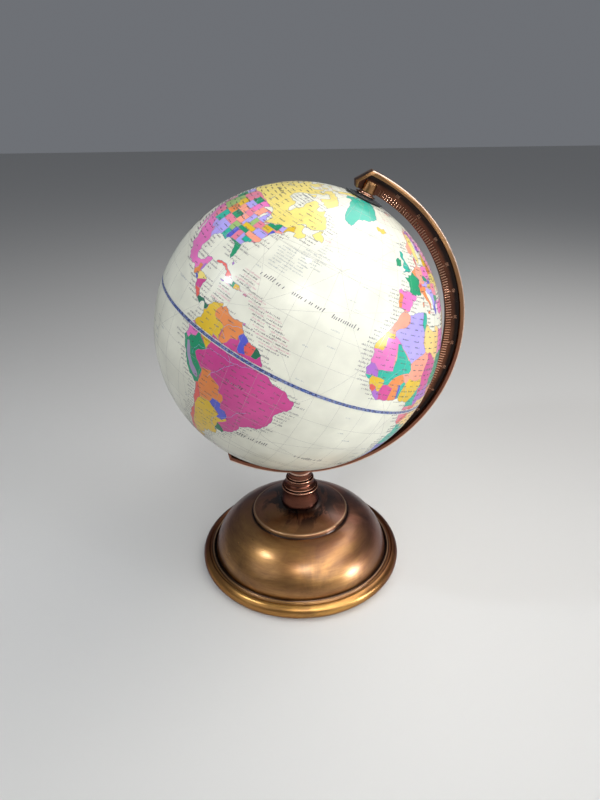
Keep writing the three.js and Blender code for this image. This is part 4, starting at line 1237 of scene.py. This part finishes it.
# Sea routes as two ends and a bow, which is the bend as a share of the length.
ROUTES = """
-73.5,40 -39.2,40.8 0.03   -39.2,40.8 -9.8,49.5 0.05   -39.2,40.8 -22.9,50.7 0   -22.9,50.7 -9,58 0.04
-39.2,40.8 -59,62 0.03   -39.2,40.8 -6.5,36 -0.04   -39.2,40.8 -18,14.8 -0.06   -39.2,40.8 -62,18 0.05
-74,36.5 -62,18 0.05   -62,18 -35,-4.5 0.06   -18,14.8 -34,-5 0.03   -18,14.8 -10,43.5 -0.05
-18,14.8 17.5,-34.5 0.12   -34,-9 -40.5,-23 0.08   -40.5,-24 17.5,-34.5 0.02   -52,47 -23,64 0.05
-79.5,9.5 -73.5,38 0.06   -79.5,9.5 -5.8,36 -0.06   -56,-36 17.5,-35 0.05   -10,43.5 -73.5,40.2 0.12
-50,-30 0,-18 0.06   0,-18 9,3 0.1   -22,62 -2,61 0.05   -52,46.5 -10,52 -0.03   -45,59 -10,57 0.05
-124,48 141,35.5 0.1   -122.5,37.5 141,35 0.1   -122.5,37.5 -157,21 0.04   -157,20.5 141,34.5 0.05
-157,20.5 174,-36 0.03   -157,20.5 -80.5,7 0.04   -80.5,7 -118.5,33.5 0.08   -80.5,7 174,-37 0.05
-72,-33 -80.5,7 0.05   152,-34 174,-36 0.03   152,-34 -157,20.5 0.03   19,-35 115,-33 0.05
19,-35 73,18.5 -0.06   44.5,12 73,18.5 0.04   44.5,12 80,5.5 0.04   80,5.5 95.5,6 0.02
80,5.5 115,-32 0.04   115,-35.5 145,-39 0.05   104.5,1 114,22 0.04   114,22 139.5,34.5 0.05
104.5,1 121,14.5 0.03   40,-3 73,18.5 0.03   49,-13 80,5.5 0.04   121,14.5 152,-26 -0.05
"""

# Short bars in rows stand for printed names: longitude and latitude of the left end, length in
# millimetres and height in millimetres. No real lettering is printed.
BIG_WORDS = """
-66.2,27.4 16 2.5   -52.3,27 21 2.5   -36,26 17 2.5   -48.3,-29.3 22 2.6   -22,-30 21 2.5
2,-32 14 2.5   -150,27 18 2.5   -135,26 22 2.5   -148,-26 18 2.5   -133,-27 22 2.5
70,-22 21 2.5   88,-24 17 2.5   -59,-9.5 11 2.2   -108,40 17 2   -112,57 14 2.2   15,17 14 2.2
85,62 18 2.2   95,35 11 2.2   127,-25 14 2.2   -5,80 14 1.9   150,80 14 1.9   160,20 18 2.5
-100,-58 22 2.2   20,-58 22 2.2   100,-58 22 2.2   75,12 10 1.8   20,50 10 1.6   -60,-68 18 2
60,-76 18 2   -170,53 10 1.6   150,50 11 1.6
"""

# Blocks of small notes at sea: longitude and latitude of the first row, and how many rows.
NOTE_BLOCKS = (
    (-52, 46, 9), (-57, 42, 9), (-62, 40, 9), (-67, 39, 8), (-30, 62, 3), (150, 42, 4), (60, 14, 4)
)

# Columns of names by the West Indies: longitude and latitude of the lowest row, how many rows,
# and how far each row stands west of the one below it.
WEST_INDIES_COLUMNS = (
    (-54, 7.2, 15, -0.95), (-77, 11.2, 7, 0), (-48, 8.2, 11, -0.95), (-72, 21, 6, 0)
)


def word(ink, lon, lat, length, height):
    """A row of short slanted bars in place of a printed name, starting at its left end."""
    at = direction(lon, lat)
    on = Vector((0, 0, 1)).cross(at).normalized()
    up = at.cross(on)
    pitch = height * 0.52
    place = 0.0
    while place < length:
        tall = height * random.choice((0.62, 0.62, 0.7, 1.0))
        foot = (at * BALL_R + on * place - up * height * 0.5).normalized()
        top = (at * BALL_R + on * (place + tall * 0.24) + up * (tall - height * 0.5)).normalized()
        ink.line([foot, top])
        place += pitch * random.choice((0.85, 1.0, 1.1, 1.9))


def cut_longitudes(lat, land):
    """Where a parallel crosses one outline."""
    ends = np.roll(land, -1, 0)
    cut = (land[:, 1] > lat) != (ends[:, 1] > lat)
    a, b = land[cut], ends[cut]
    return a[:, 0] + (b[:, 0] - a[:, 0]) * (lat - a[:, 1]) / (b[:, 1] - a[:, 1])


def crossings(lat):
    """Where a parallel crosses the coasts, from west to east within one turn."""
    found = np.concatenate([cut_longitudes(lat, land) for land in LANDS])
    return sorted((found + 180) % 360 - 180)


def on_land(lon, lat):
    for land in LANDS:
        cuts = cut_longitudes(lat, land)
        if any((cuts > lon + turn).sum() % 2 for turn in (-360, 0, 360)):
            return True
    return False


def coast_words(ink):
    """Names of ports and capes stand off the coasts in rows, out to sea."""
    for step in range(-38, 46):
        lat = step * 1.4 + 0.4
        across = BALL_R * math.cos(math.radians(lat)) * math.pi / 180
        cuts = crossings(lat)
        for i, lon in enumerate(cuts):
            gap = 0.8 / across
            room = {1: (cuts[(i + 1) % len(cuts)] - lon) % 360, -1: (lon - cuts[i - 1]) % 360}
            for way in (1, -1):
                length = random.uniform(4, 7.6)
                if on_land(lon + way * gap, lat) or room[way] * across < length + 2:
                    continue
                if random.random() < 0.92:
                    start = lon + gap if way > 0 else lon - gap - length / across
                    word(ink, start, lat, length, 1.15)


def land_words(ink):
    """Towns and regions inland."""
    for step in range(-24, 36):
        lat = step * 2 + 0.8
        across = BALL_R * math.cos(math.radians(lat)) * math.pi / 180
        lon = -180 + random.uniform(0, 4)
        while lon < 180:
            length = random.uniform(2, 5.6)
            clear = all(on_land(lon + x / across, lat) for x in (-1, length + 1))
            if clear:
                word(ink, lon, lat, length, random.choice((0.8, 0.8, 1.1)))
            lon += (length + random.uniform(1.5, 7)) / across


def graticule():
    """Meridians and parallels every ten degrees, and the sea routes."""
    grid = Ink("graticule", 0.1, 0.04)
    for lon in range(0, 360, 10):
        end = 86 if lon % 30 == 0 else 80
        grid.path([(lon, 0.95), (lon, end)])
        grid.path([(lon, -end), (lon, -0.95)])
    for lat in range(-80, 90, 10):
        if lat:
            grid.path([(0, lat), (360, lat)])
    words = ROUTES.split()
    for start, end, bow in zip(words[::3], words[1::3], words[2::3]):
        grid.arc(place_of(start), place_of(end), float(bow))
    grid.piece(grid_ink)


def rivers():
    """Rivers as wandering lines, drawn from the sea upstream."""
    ink = Ink("rivers", 0.2, 0.045)
    for _, _, points in outlines(RIVERS):
        stream = [p for a, b in zip(points, points[1:]) for p in wander(a, b, 1.2, 0.14)]
        ink.path(stream + [points[-1]])
    ink.piece(river_ink)


def place_names():
    """Names of ports off the coasts and of towns inland."""
    names = Ink("place_names", 0.26, 0.06)
    coast_words(names)
    land_words(names)
    names.piece(label_ink)


def ocean_titles():
    """The large words over the oceans and the largest countries."""
    titles = Ink("ocean_titles", 0.5, 0.06)
    words = BIG_WORDS.split()
    for place, length, height in zip(words[::3], words[1::3], words[2::3]):
        lon, lat = place_of(place)
        word(titles, lon, lat, float(length), float(height) * 1.1)
    titles.piece(label_ink)


def sea_notes():
    """Small grey notes: blocks of rows in some seas, and single words scattered over the rest."""
    notes = Ink("sea_notes", 0.24, 0.055)
    for lon, lat, rows in NOTE_BLOCKS:
        for row in range(rows):
            word(notes, lon + random.uniform(-1, 1), lat - row * 1.1, random.uniform(4, 7), 0.9)
    for _ in range(150):
        lon, lat = random.uniform(-180, 180), math.degrees(math.asin(random.uniform(-0.9, 0.9)))
        if abs(lat) > 2.5 and not on_land(lon, lat) and not on_land(lon + 4, lat):
            word(notes, lon, lat, random.uniform(3, 6), 0.85)
    notes.piece(grey_ink)


def island_names():
    """Words next to the larger islands, and rows of rose and dark words off the West Indies."""
    rose = Ink("island_names", 0.26, 0.06)
    dark = Ink("west_indies_names", 0.26, 0.06)
    for isle in ISLES:
        if len(isle) > 6:
            lon, lat = isle[:, 0].max(), isle[:, 1].mean()
            if not on_land(lon + 2, lat):
                word(rose, lon + 0.6, lat, random.uniform(3, 5), 1)
    for start, south, rows, slant in WEST_INDIES_COLUMNS:
        for row in range(rows):
            lon, lat = start + row * slant + random.uniform(-0.8, 0.8), south + row * 0.95
            word(rose if row % 2 else dark, lon, lat, random.uniform(8, 13), 0.95)
    rose.piece(rose_ink)
    dark.piece(label_ink)


def equator_band():
    """The tape over the seam: two blue lines, with dark and pale degrees between them."""
    edges = [-TAPE_HALF, -0.97, -0.24, 0.24, 0.97, TAPE_HALF]
    across = [tape_ivory, tape_blue, tape_dark, tape_blue, tape_ivory]
    listed = [tape_ivory, tape_blue, tape_dark, tape_pale]
    outer, foot = BALL_R + 0.06, BALL_R - 0.35
    profile = [(foot, -TAPE_HALF)] + [(outer, z) for z in edges] + [(foot, TAPE_HALF)]
    bm = turned(profile, 360)
    for i, face in enumerate(bm.faces):
        degree, k = divmod(i, len(profile))
        if 1 <= k <= len(across):
            stripe = across[k - 1]
            if stripe is tape_dark and (degree % 2 or degree % 30 == 0):
                stripe = tape_pale
            face.material_index = listed.index(stripe)
    piece = as_object(bm, "equator_band", "globe", listed, POLAR, sharp=40)
    stands_for("equator_tape")


graticule()
rivers()
place_names()
ocean_titles()
sea_notes()
island_names()
equator_band()

# ---------------------------------------------------------------- the stand


def turned_piece(name, node, slot, profile, materials, **more):
    piece = as_object(turned(profile, **more), name, "stand", materials)
    stands_for(node)


def base_profile():
    """Rolled rim, lip, dome and crown, then back along the inside of the sheet."""
    return (
        [(74.5, 0.8)]
        + arc(75.4, 6.4, 5.6, -82, 78, 24)
        + [(75.4, 10.9), (74.2, 11)]
        + arc(72.9, 11.3, 0.9, 20, 150, 8)
        + [(71.4, 10.3)]
        + bulge((70.6, 11), (39.6, 43), 7, 30)
        + [(38.8, 42.7), (38.4, 43.3)]
        + arc(37.2, 44.9, 1.2, 0, 75, 6)
        + bulge((35.5, 46.7), (16.5, 51.4), 0.8, 10)
        + [(15.5, 52), (5.3, 52), (5.3, 50.7), (16.2, 50.1), (35, 45.2), (36.6, 43.4), (37.2, 41.1)]
        + bulge((39, 41), (69.3, 10.6), -7, 16)
        + [(70.4, 8.8), (75.6, 8.9)]
        + arc(75.4, 6.4, 4.3, 40, -82, 12)
        + [(74.5, 2.1)]
    )


NECK_BORE = 3.3  # radius of the hole that the tie rod runs in


def neck_profiles():
    """The cup on the base, the ring over it and the collar under the arm."""
    cup = (
        [(NECK_BORE, 52.3), (13.6, 52.3)]
        + arc(13.8, 53.9, 1.6, -90, 0)
        + bulge((15.1, 55.7), (14, 65.6), -0.35)
        + arc(13.5, 66.8, 0.95, -50, 90)
        + [(12.3, 67.5), (NECK_BORE, 67.5)]
    )
    ring = (
        [(NECK_BORE, 68.1), (12.7, 68.1), (13.1, 68.5), (13.1, 69.1)]
        + bulge((12.6, 69.7), (10.6, 73.8), -0.7)
        + arc(10.3, 74.8, 0.8, -50, 90)
        + [(NECK_BORE, 75.6)]
    )
    collar = [(NECK_BORE, 75.9), (9.5, 75.9), (9.9, 76.3), (9.9, 77), (9.3, 77.5), (9.3, 80.5)]
    collar.append((NECK_BORE, 80.5))
    return cup, ring, softened(collar, 0.3)


def apply_modifiers(piece):
    bpy.context.view_layer.update()
    ready = piece.evaluated_get(bpy.context.evaluated_depsgraph_get())
    old = piece.data
    piece.data = bpy.data.meshes.new_from_object(ready)
    piece.modifiers.clear()
    bpy.data.meshes.remove(old)


def solid(bm, place=None):
    """A plain object to cut or join with, in millimetres scaled to metres."""
    bm.transform(Matrix.Scale(MM, 4) @ (place or Matrix()))
    bmesh.ops.recalc_face_normals(bm, faces=bm.faces)
    return linked("solid", mesh_from(bm, "solid"))


def combine(base, tool, operation):
    change = base.modifiers.new("change", "BOOLEAN")
    change.object = tool
    change.operation = operation
    change.solver = "EXACT"
    apply_modifiers(base)
    bpy.data.objects.remove(tool)


def prism(outline, low, high):
    bm = bmesh.new()
    block(bm, outline, low, high)
    return solid(bm)


def post(radius, low, high, place=None):
    """A solid round post along Z."""
    bm = bmesh.new()
    rings = []
    facets = 48
    for z in (low, high):
        turn = [2 * math.pi * i / facets for i in range(facets)]
        rings.append([bm.verts.new((radius * math.cos(t), radius * math.sin(t), z)) for t in turn])
    for i in range(facets):
        k = (i + 1) % facets
        bm.faces.new((rings[0][i], rings[0][k], rings[1][k], rings[1][i]))
    bm.faces.new(rings[0][::-1])
    bm.faces.new(rings[1])
    return solid(bm, place)


ARM_INNER_R = 104.5
ARM_OUTER_R = corner("meridian_arm", 1, 0)
ARM_RIM = 3  # the rim, outward
ARM_WEB = 3  # the plate inside the rim, from side to side
ARM_DEPTH = 11  # the rim, from side to side
BOSS_FOOT = 103.6  # where the boss at each pole begins


def arm_end(side, inset):
    """The three corners of the arm's outline at one pole."""
    return [
        (-3, side * ARM_OUTER_R),
        (-10.5 + 1.17 * inset, side * (BOSS_FOOT + 3.7)),
        (-8.5 + inset, side * (BOSS_FOOT - 1.7 * inset)),
    ]


def arm_outline(inset, inner_r):
    """Side view of the arm, or with an inset the pocket that its rim goes round."""
    rim_r = ARM_OUTER_R - (ARM_RIM if inset else 0)
    start = math.degrees(math.acos(-3 / rim_r))
    foot = math.degrees(math.acos(5.5 / inner_r))
    north, south = arm_end(1, inset)[1:], arm_end(-1, inset)[1:][::-1]
    outline = arc(0, 0, rim_r, -start, start, 120) + north
    if not inset:
        outline.append((5.5, BOSS_FOOT))
    outline += arc(0, 0, inner_r, foot, -foot, 120)
    if not inset:
        outline.append((5.5, -BOSS_FOOT))
    return outline + south


def meridian_arm():
    """A plate with a rim round its outer edge and ends, a boss at each pole and a foot pad."""
    base = prism(arm_outline(0, ARM_INNER_R), -ARM_DEPTH / 2, ARM_DEPTH / 2)
    for side in (-1, 1):
        low, high = sorted((side * ARM_WEB / 2, side * (ARM_DEPTH / 2 + 1)))
        combine(base, prism(arm_outline(1.8, 92), low, high), "DIFFERENCE")
    down = Matrix.Rotation(math.pi - TILT, 4, "Y")
    over = Matrix.Rotation(math.pi, 4, "X")
    for place in (Matrix(), over):
        combine(base, post(4.6, BOSS_FOOT, BOSS_FOOT + 6.8, place), "UNION")
        combine(base, post(2.3, BOSS_FOOT - 1, BOSS_FOOT + 5.3, place), "DIFFERENCE")
    combine(base, post(9.1, ARM_OUTER_R - ARM_RIM, ARM_OUTER_R + 0.7, down), "UNION")
    combine(base, post(6.6, ARM_INNER_R, ARM_OUTER_R - 0.3, down), "UNION")
    combine(base, post(4.5, ARM_INNER_R + 1.5, ARM_OUTER_R + 1.7, down), "DIFFERENCE")
    bevel = base.modifiers.new("bevel", "BEVEL")
    bevel.width = 0.32 * MM
    bevel.segments = 2
    bevel.limit_method = "ANGLE"
    bevel.angle_limit = math.radians(38)
    bevel.use_clamp_overlap = True
    apply_modifiers(base)
    bm = bmesh.new()
    bm.from_mesh(base.data)
    bpy.data.objects.remove(base)
    piece = as_object(bm, "arm", "stand", [arm_copper], POLAR @ Matrix.Scale(1 / MM, 4), sharp=28)
    stands_for("meridian_arm")


def scale_marks():
    """Raised degree marks on both faces of the arm's plate, longer every five and ten degrees."""
    bm = bmesh.new()
    for degree in range(-84, 87):
        reach = 5.1 if degree % 10 == 0 else 4.6 if degree % 5 == 0 else 4.1
        wide = 0.95 if degree % 10 == 0 else 0.85
        bar = [(ARM_INNER_R + 0.35, -wide / 2), (ARM_INNER_R + reach, -wide / 2 * 0.8)]
        bar += [(r, -z) for r, z in reversed(bar)]
        turn = Matrix.Rotation(-math.radians(degree), 4, "Y")
        for side in (-1, 1):
            low, high = sorted((side * (ARM_WEB / 2 - 0.2), side * (ARM_WEB / 2 + 0.4)))
            faces = block(bm, bar, low, high)
            verts = list({v for face in faces for v in face.verts})
            bmesh.ops.transform(bm, matrix=turn, verts=verts)
    edges = [e for e in bm.edges if abs(e.verts[0].co.y) > 1.8 and abs(e.verts[1].co.y) > 1.8]
    bmesh.ops.bevel(bm, geom=edges, offset=0.12, segments=1, affect="EDGES")
    piece = as_object(bm, "arm_degree_marks", "stand", [arm_raised], POLAR)


# The hour dial: its hole and its edge from the axis, and its two faces from the ball's centre.
DIAL_HOLE_R, DIAL_EDGE_R = 6.35, 12.95
DIAL_UNDER, DIAL_TOP = 100.45, 101.15

SET_TEXTS = {}  # numbers already made, because most come up again


def text_mesh(words, size, depth):
    """Flat raised text as a bmesh, centred on its origin, in millimetres."""
    if (words, size) in SET_TEXTS:
        return SET_TEXTS[words, size].copy()
    curve = bpy.data.curves.new("text", "FONT")
    curve.body = words
    curve.size = size
    curve.extrude = depth
    curve.offset = 0.04
    curve.resolution_u = 3
    curve.align_x = "CENTER"
    curve.align_y = "CENTER"
    holder = linked("text", curve)
    bpy.context.view_layer.update()
    mesh = bpy.data.meshes.new_from_object(holder.evaluated_get(bpy.context.evaluated_depsgraph_get()))
    bm = bmesh.new()
    bm.from_mesh(mesh)
    bmesh.ops.remove_doubles(bm, verts=bm.verts, dist=0.002)
    bpy.data.objects.remove(holder)
    bpy.data.curves.remove(curve)
    bpy.data.meshes.remove(mesh)
    SET_TEXTS[words, size] = bm
    return bm.copy()


def gather(whole, part, place):
    """Adds a placed copy of part to whole."""
    part.transform(place)
    made = {v: whole.verts.new(v.co) for v in part.verts}
    for face in part.faces:
        whole.faces.new([made[v] for v in face.verts])
    part.free()


def scale_numbers():
    """Numbers every ten degrees on both faces, read from the neck's side of the arm."""
    bm = bmesh.new()
    for degree in range(-80, 81, 10):
        for side in (-1, 1):
            face = Matrix.Rotation(math.pi / 2, 4, "X")
            if side > 0:
                face = Matrix.Rotation(math.pi, 4, "Z") @ face
            spot = Matrix.Translation((ARM_INNER_R + 7, side * (ARM_WEB / 2 + 0.1), 0))
            turn = Matrix.Rotation(-math.radians(degree), 4, "Y")
            upright = Matrix.Rotation(-side * math.pi / 2, 4, "Z")
            gather(bm, text_mesh(str(abs(degree)), 2.8, 0.25), turn @ spot @ face @ upright)
    piece = as_object(bm, "arm_numbers", "stand", [arm_raised], POLAR)


def pivot_sleeve(name, node, place):
    profile = [(2.3, 101.7), (6.9, 101.7), (6.9, 102.3), (5, 102.6), (5, 103.3), (2.3, 103.3)]
    bm = turned(softened(profile, 0.28), 64)
    piece = as_object(bm, name, "stand", [sleeve_copper], place)
    stands_for(node)


def hour_dial():
    """A thin disc, domed like the ball, that lies round the north pole."""
    hole, edge = (math.degrees(math.acos(r / BALL_R)) for r in (DIAL_HOLE_R, DIAL_EDGE_R))
    profile = arc(0, 0, DIAL_UNDER, edge, hole, 5) + arc(0, 0, DIAL_TOP, hole, edge, 5)
    bm = turned(softened(profile, 0.25), 96)
    piece = as_object(bm, "dial", "hour_dial", [dial_plastic], POLAR, sharp=50)
    stands_for("hour_dial")


def hour_marks():
    """24 pale marks round the dial's edge, and a number at every second one."""
    marks = bmesh.new()
    outer, half = DIAL_EDGE_R - 0.35, 0.16
    mark_slope, number_slope = math.radians(6.8), math.radians(5.5)
    for hour in range(24):
        turn = Matrix.Rotation(math.radians(hour * 15), 4, "Z")
        inner = outer - (1.5 if hour % 6 == 0 else 0.9)
        bar = bmesh.new()
        block(bar, [(inner, -half), (outer, -half), (outer, half), (inner, half)], -0.12, 0)
        lean = Matrix.Rotation(mark_slope, 4, "Y")
        flatten = Matrix.Translation((0, 0, 101.93)) @ lean @ Matrix.Rotation(-math.pi / 2, 4, "X")
        gather(marks, bar, turn @ flatten)
        if hour % 2 == 0:
            label = text_mesh(str((hour + 11) % 12 + 1), 1.9, 0.04)
            spot = Matrix.Translation((9.6, 0, 100.7)) @ Matrix.Rotation(number_slope, 4, "Y")
            gather(marks, label, turn @ spot @ Matrix.Rotation(-math.pi / 2, 4, "Z"))
    piece = as_object(marks, "dial_marks", "hour_dial", [dial_ink], POLAR)


def felt_disc():
    """The felt pad, with a soft uneven edge."""
    low, high = corner("felt_pad", 0, 2), corner("felt_pad", 1, 2)
    radius = corner("felt_pad", 1, 0)
    edge = arc(radius - 0.7, low + 0.7, 0.7, -90, 0, 4) + arc(radius - 0.6, high - 0.6, 0.55, 0, 90, 4)
    rings = [(r, low) for r in (4, 20, 40, 60)] + edge + [(r, high) for r in (60, 40, 20, 4)]
    bm = turned(rings, 160)
    inner = [v for v in bm.verts if v.co.xy.length < 5]
    between = [f for f in bm.faces if all(v.co.xy.length < 5 for v in f.verts)]
    bmesh.ops.delete(bm, geom=between, context="FACES_ONLY")
    for z in (low, high):
        ring = [v for v in inner if abs(v.co.z - z) < 0.01]
        bm.faces.new(sorted(ring, key=lambda v: math.atan2(v.co.y, v.co.x)))
    bare = [e for e in bm.edges if not e.link_faces]
    bmesh.ops.delete(bm, geom=bare, context="EDGES")
    for vert in bm.verts:
        if vert.co.xy.length > radius - 1:
            shrink = 1 - random.uniform(0, 0.25) / radius
            vert.co.x *= shrink
            vert.co.y *= shrink
    piece = as_object(bm, "felt_disc", "stand", [felt])
    stands_for("felt_pad")


def finish_cad_nodes():
    """The CAD nodes that stay get their finishes."""
    finishes = {
        "bottom_plate": board,
        "ballast_weight": cast_iron,
        "rod_nut": zinc_steel,
        "lock_washer": zinc_steel,
        "flat_washer": zinc_steel,
        "tie_rod": zinc_steel,
        "arm_insert": turned_brass,
        "north_pivot_pin": pin_steel,
        "south_pivot_pin": pin_steel,
        "joining_ring": inner_plastic,
        "north_hub": hub_plastic,
        "south_hub": hub_plastic,
    }
    for node, material in finishes.items():
        for slot in frame["nodes"][node].material_slots:
            slot.material = material


def bead_or_dome(radius, height):
    return 1 if radius > 74.3 and height < 12 else 0


turned_piece(
    "base", "base_shell", "base_bronze", base_profile(), [bronze, bead_bronze],
    facets=192, material_at=bead_or_dome,
)
cup, ring, collar = neck_profiles()
turned_piece("cup", "neck_cup", "neck_copper", cup, [copper], facets=96)
turned_piece("ring", "neck_ring", "neck_copper", ring, [copper], facets=96)
turned_piece("collar", "neck_collar", "neck_copper", collar, [copper], facets=96)
meridian_arm()
scale_marks()
scale_numbers()
pivot_sleeve("north_sleeve", "north_pivot_sleeve", POLAR)
pivot_sleeve("south_sleeve", "south_pivot_sleeve", SOUTH)
hour_dial()
hour_marks()
felt_disc()
finish_cad_nodes()

# ---------------------------------------------------------------- the stage


def area_light(name, where, aim, size, watts, colour, spread=180):
    """A round softbox. Its size is in metres and its spread, cut by a grid, in degrees."""
    lamp = bpy.data.lights.new(name, "AREA")
    lamp.shape = "DISK"
    lamp.size = size
    lamp.energy = watts
    lamp.color = colour
    lamp.spread = math.radians(spread)
    holder = linked(name, lamp)
    holder.location = where
    holder.rotation_euler = (Vector(aim) - Vector(where)).to_track_quat("-Z", "Y").to_euler()


def dim_world():
    world = bpy.data.worlds.new("studio")
    bpy.context.scene.world = world
    world.use_nodes = True
    backdrop = world.node_tree.nodes["Background"]
    backdrop.inputs["Color"].default_value = (0.78, 0.82, 0.90, 1)
    backdrop.inputs["Strength"].default_value = 0.2


def pale_floor():
    floor_mat = Shader("pale_floor", Roughness=0.8)
    floor_mat.main.inputs["Base Color"].default_value = linear("cfcecb")
    bm = bmesh.new()
    for x, y in ((-3, -2), (3, -2), (3, 4), (-3, 4)):
        bm.verts.new((x, y, 0))
    bm.faces.new(bm.verts)
    mesh = mesh_from(bm, "floor")
    mesh.materials.append(floor_mat.mat)
    linked("floor", mesh)


def lights():
    area_light("key", (0.5, -0.1, 0.92), (0, 0, 0.18), 0.75, 3.6, (1.0, 0.98, 0.95))
    area_light("low_window", (0.86, -0.4, 0.13), (0, 0, 0.04), 0.42, 0.25, (0.9, 0.95, 1.0), 20)
    area_light("left_window", (-0.41, -0.155, 0.577), (0, 0, 0.04), 0.035, 0.72, (0.85, 0.92, 1.0))
    area_light("top_window", (0.11, -0.35, 1.12), (0, 0, 0.2), 0.05, 0.5, (0.9, 0.95, 1.0))
    area_light("front_window", (0.046, -0.64, 0.72), (0, 0, 0.04), 0.48, 0.13, (1.0, 0.98, 0.96), 22)
    area_light("front_soft", (0.55, -0.8, 0.75), (0, 0, 0.2), 1.0, 6.5, (0.97, 0.98, 1.0))
    area_light("back_rim", (0.45, 0.36, 0.95), (0.06, 0, 0.25), 0.7, 3.0, (1.0, 0.97, 0.95))
    area_light("fill", (-0.9, -0.7, 0.7), (0, 0, 0.15), 0.9, 1.6, (0.93, 0.96, 1.0))


def camera():
    """Looks down on the globe from its front, close enough for a wide view."""
    lens = bpy.data.cameras.new("camera")
    lens.lens = 27.9
    lens.sensor_width = 36
    lens.sensor_fit = "AUTO"
    lens.clip_start = 0.01
    holder = linked("camera", lens)
    heading, pitch, roll = math.radians(-1.74), math.radians(-26.54), math.radians(-0.64)
    look = Matrix.Rotation(heading, 4, "Z") @ Matrix.Rotation(math.pi / 2 + pitch, 4, "X")
    holder.matrix_world = (
        Matrix.Translation((-0.0118, -0.4162, 0.3509)) @ look @ Matrix.Rotation(roll, 4, "Z")
    )
    bpy.context.scene.camera = holder


bpy.context.scene.view_settings.view_transform = "Standard"
dim_world()
pale_floor()
lights()
camera()
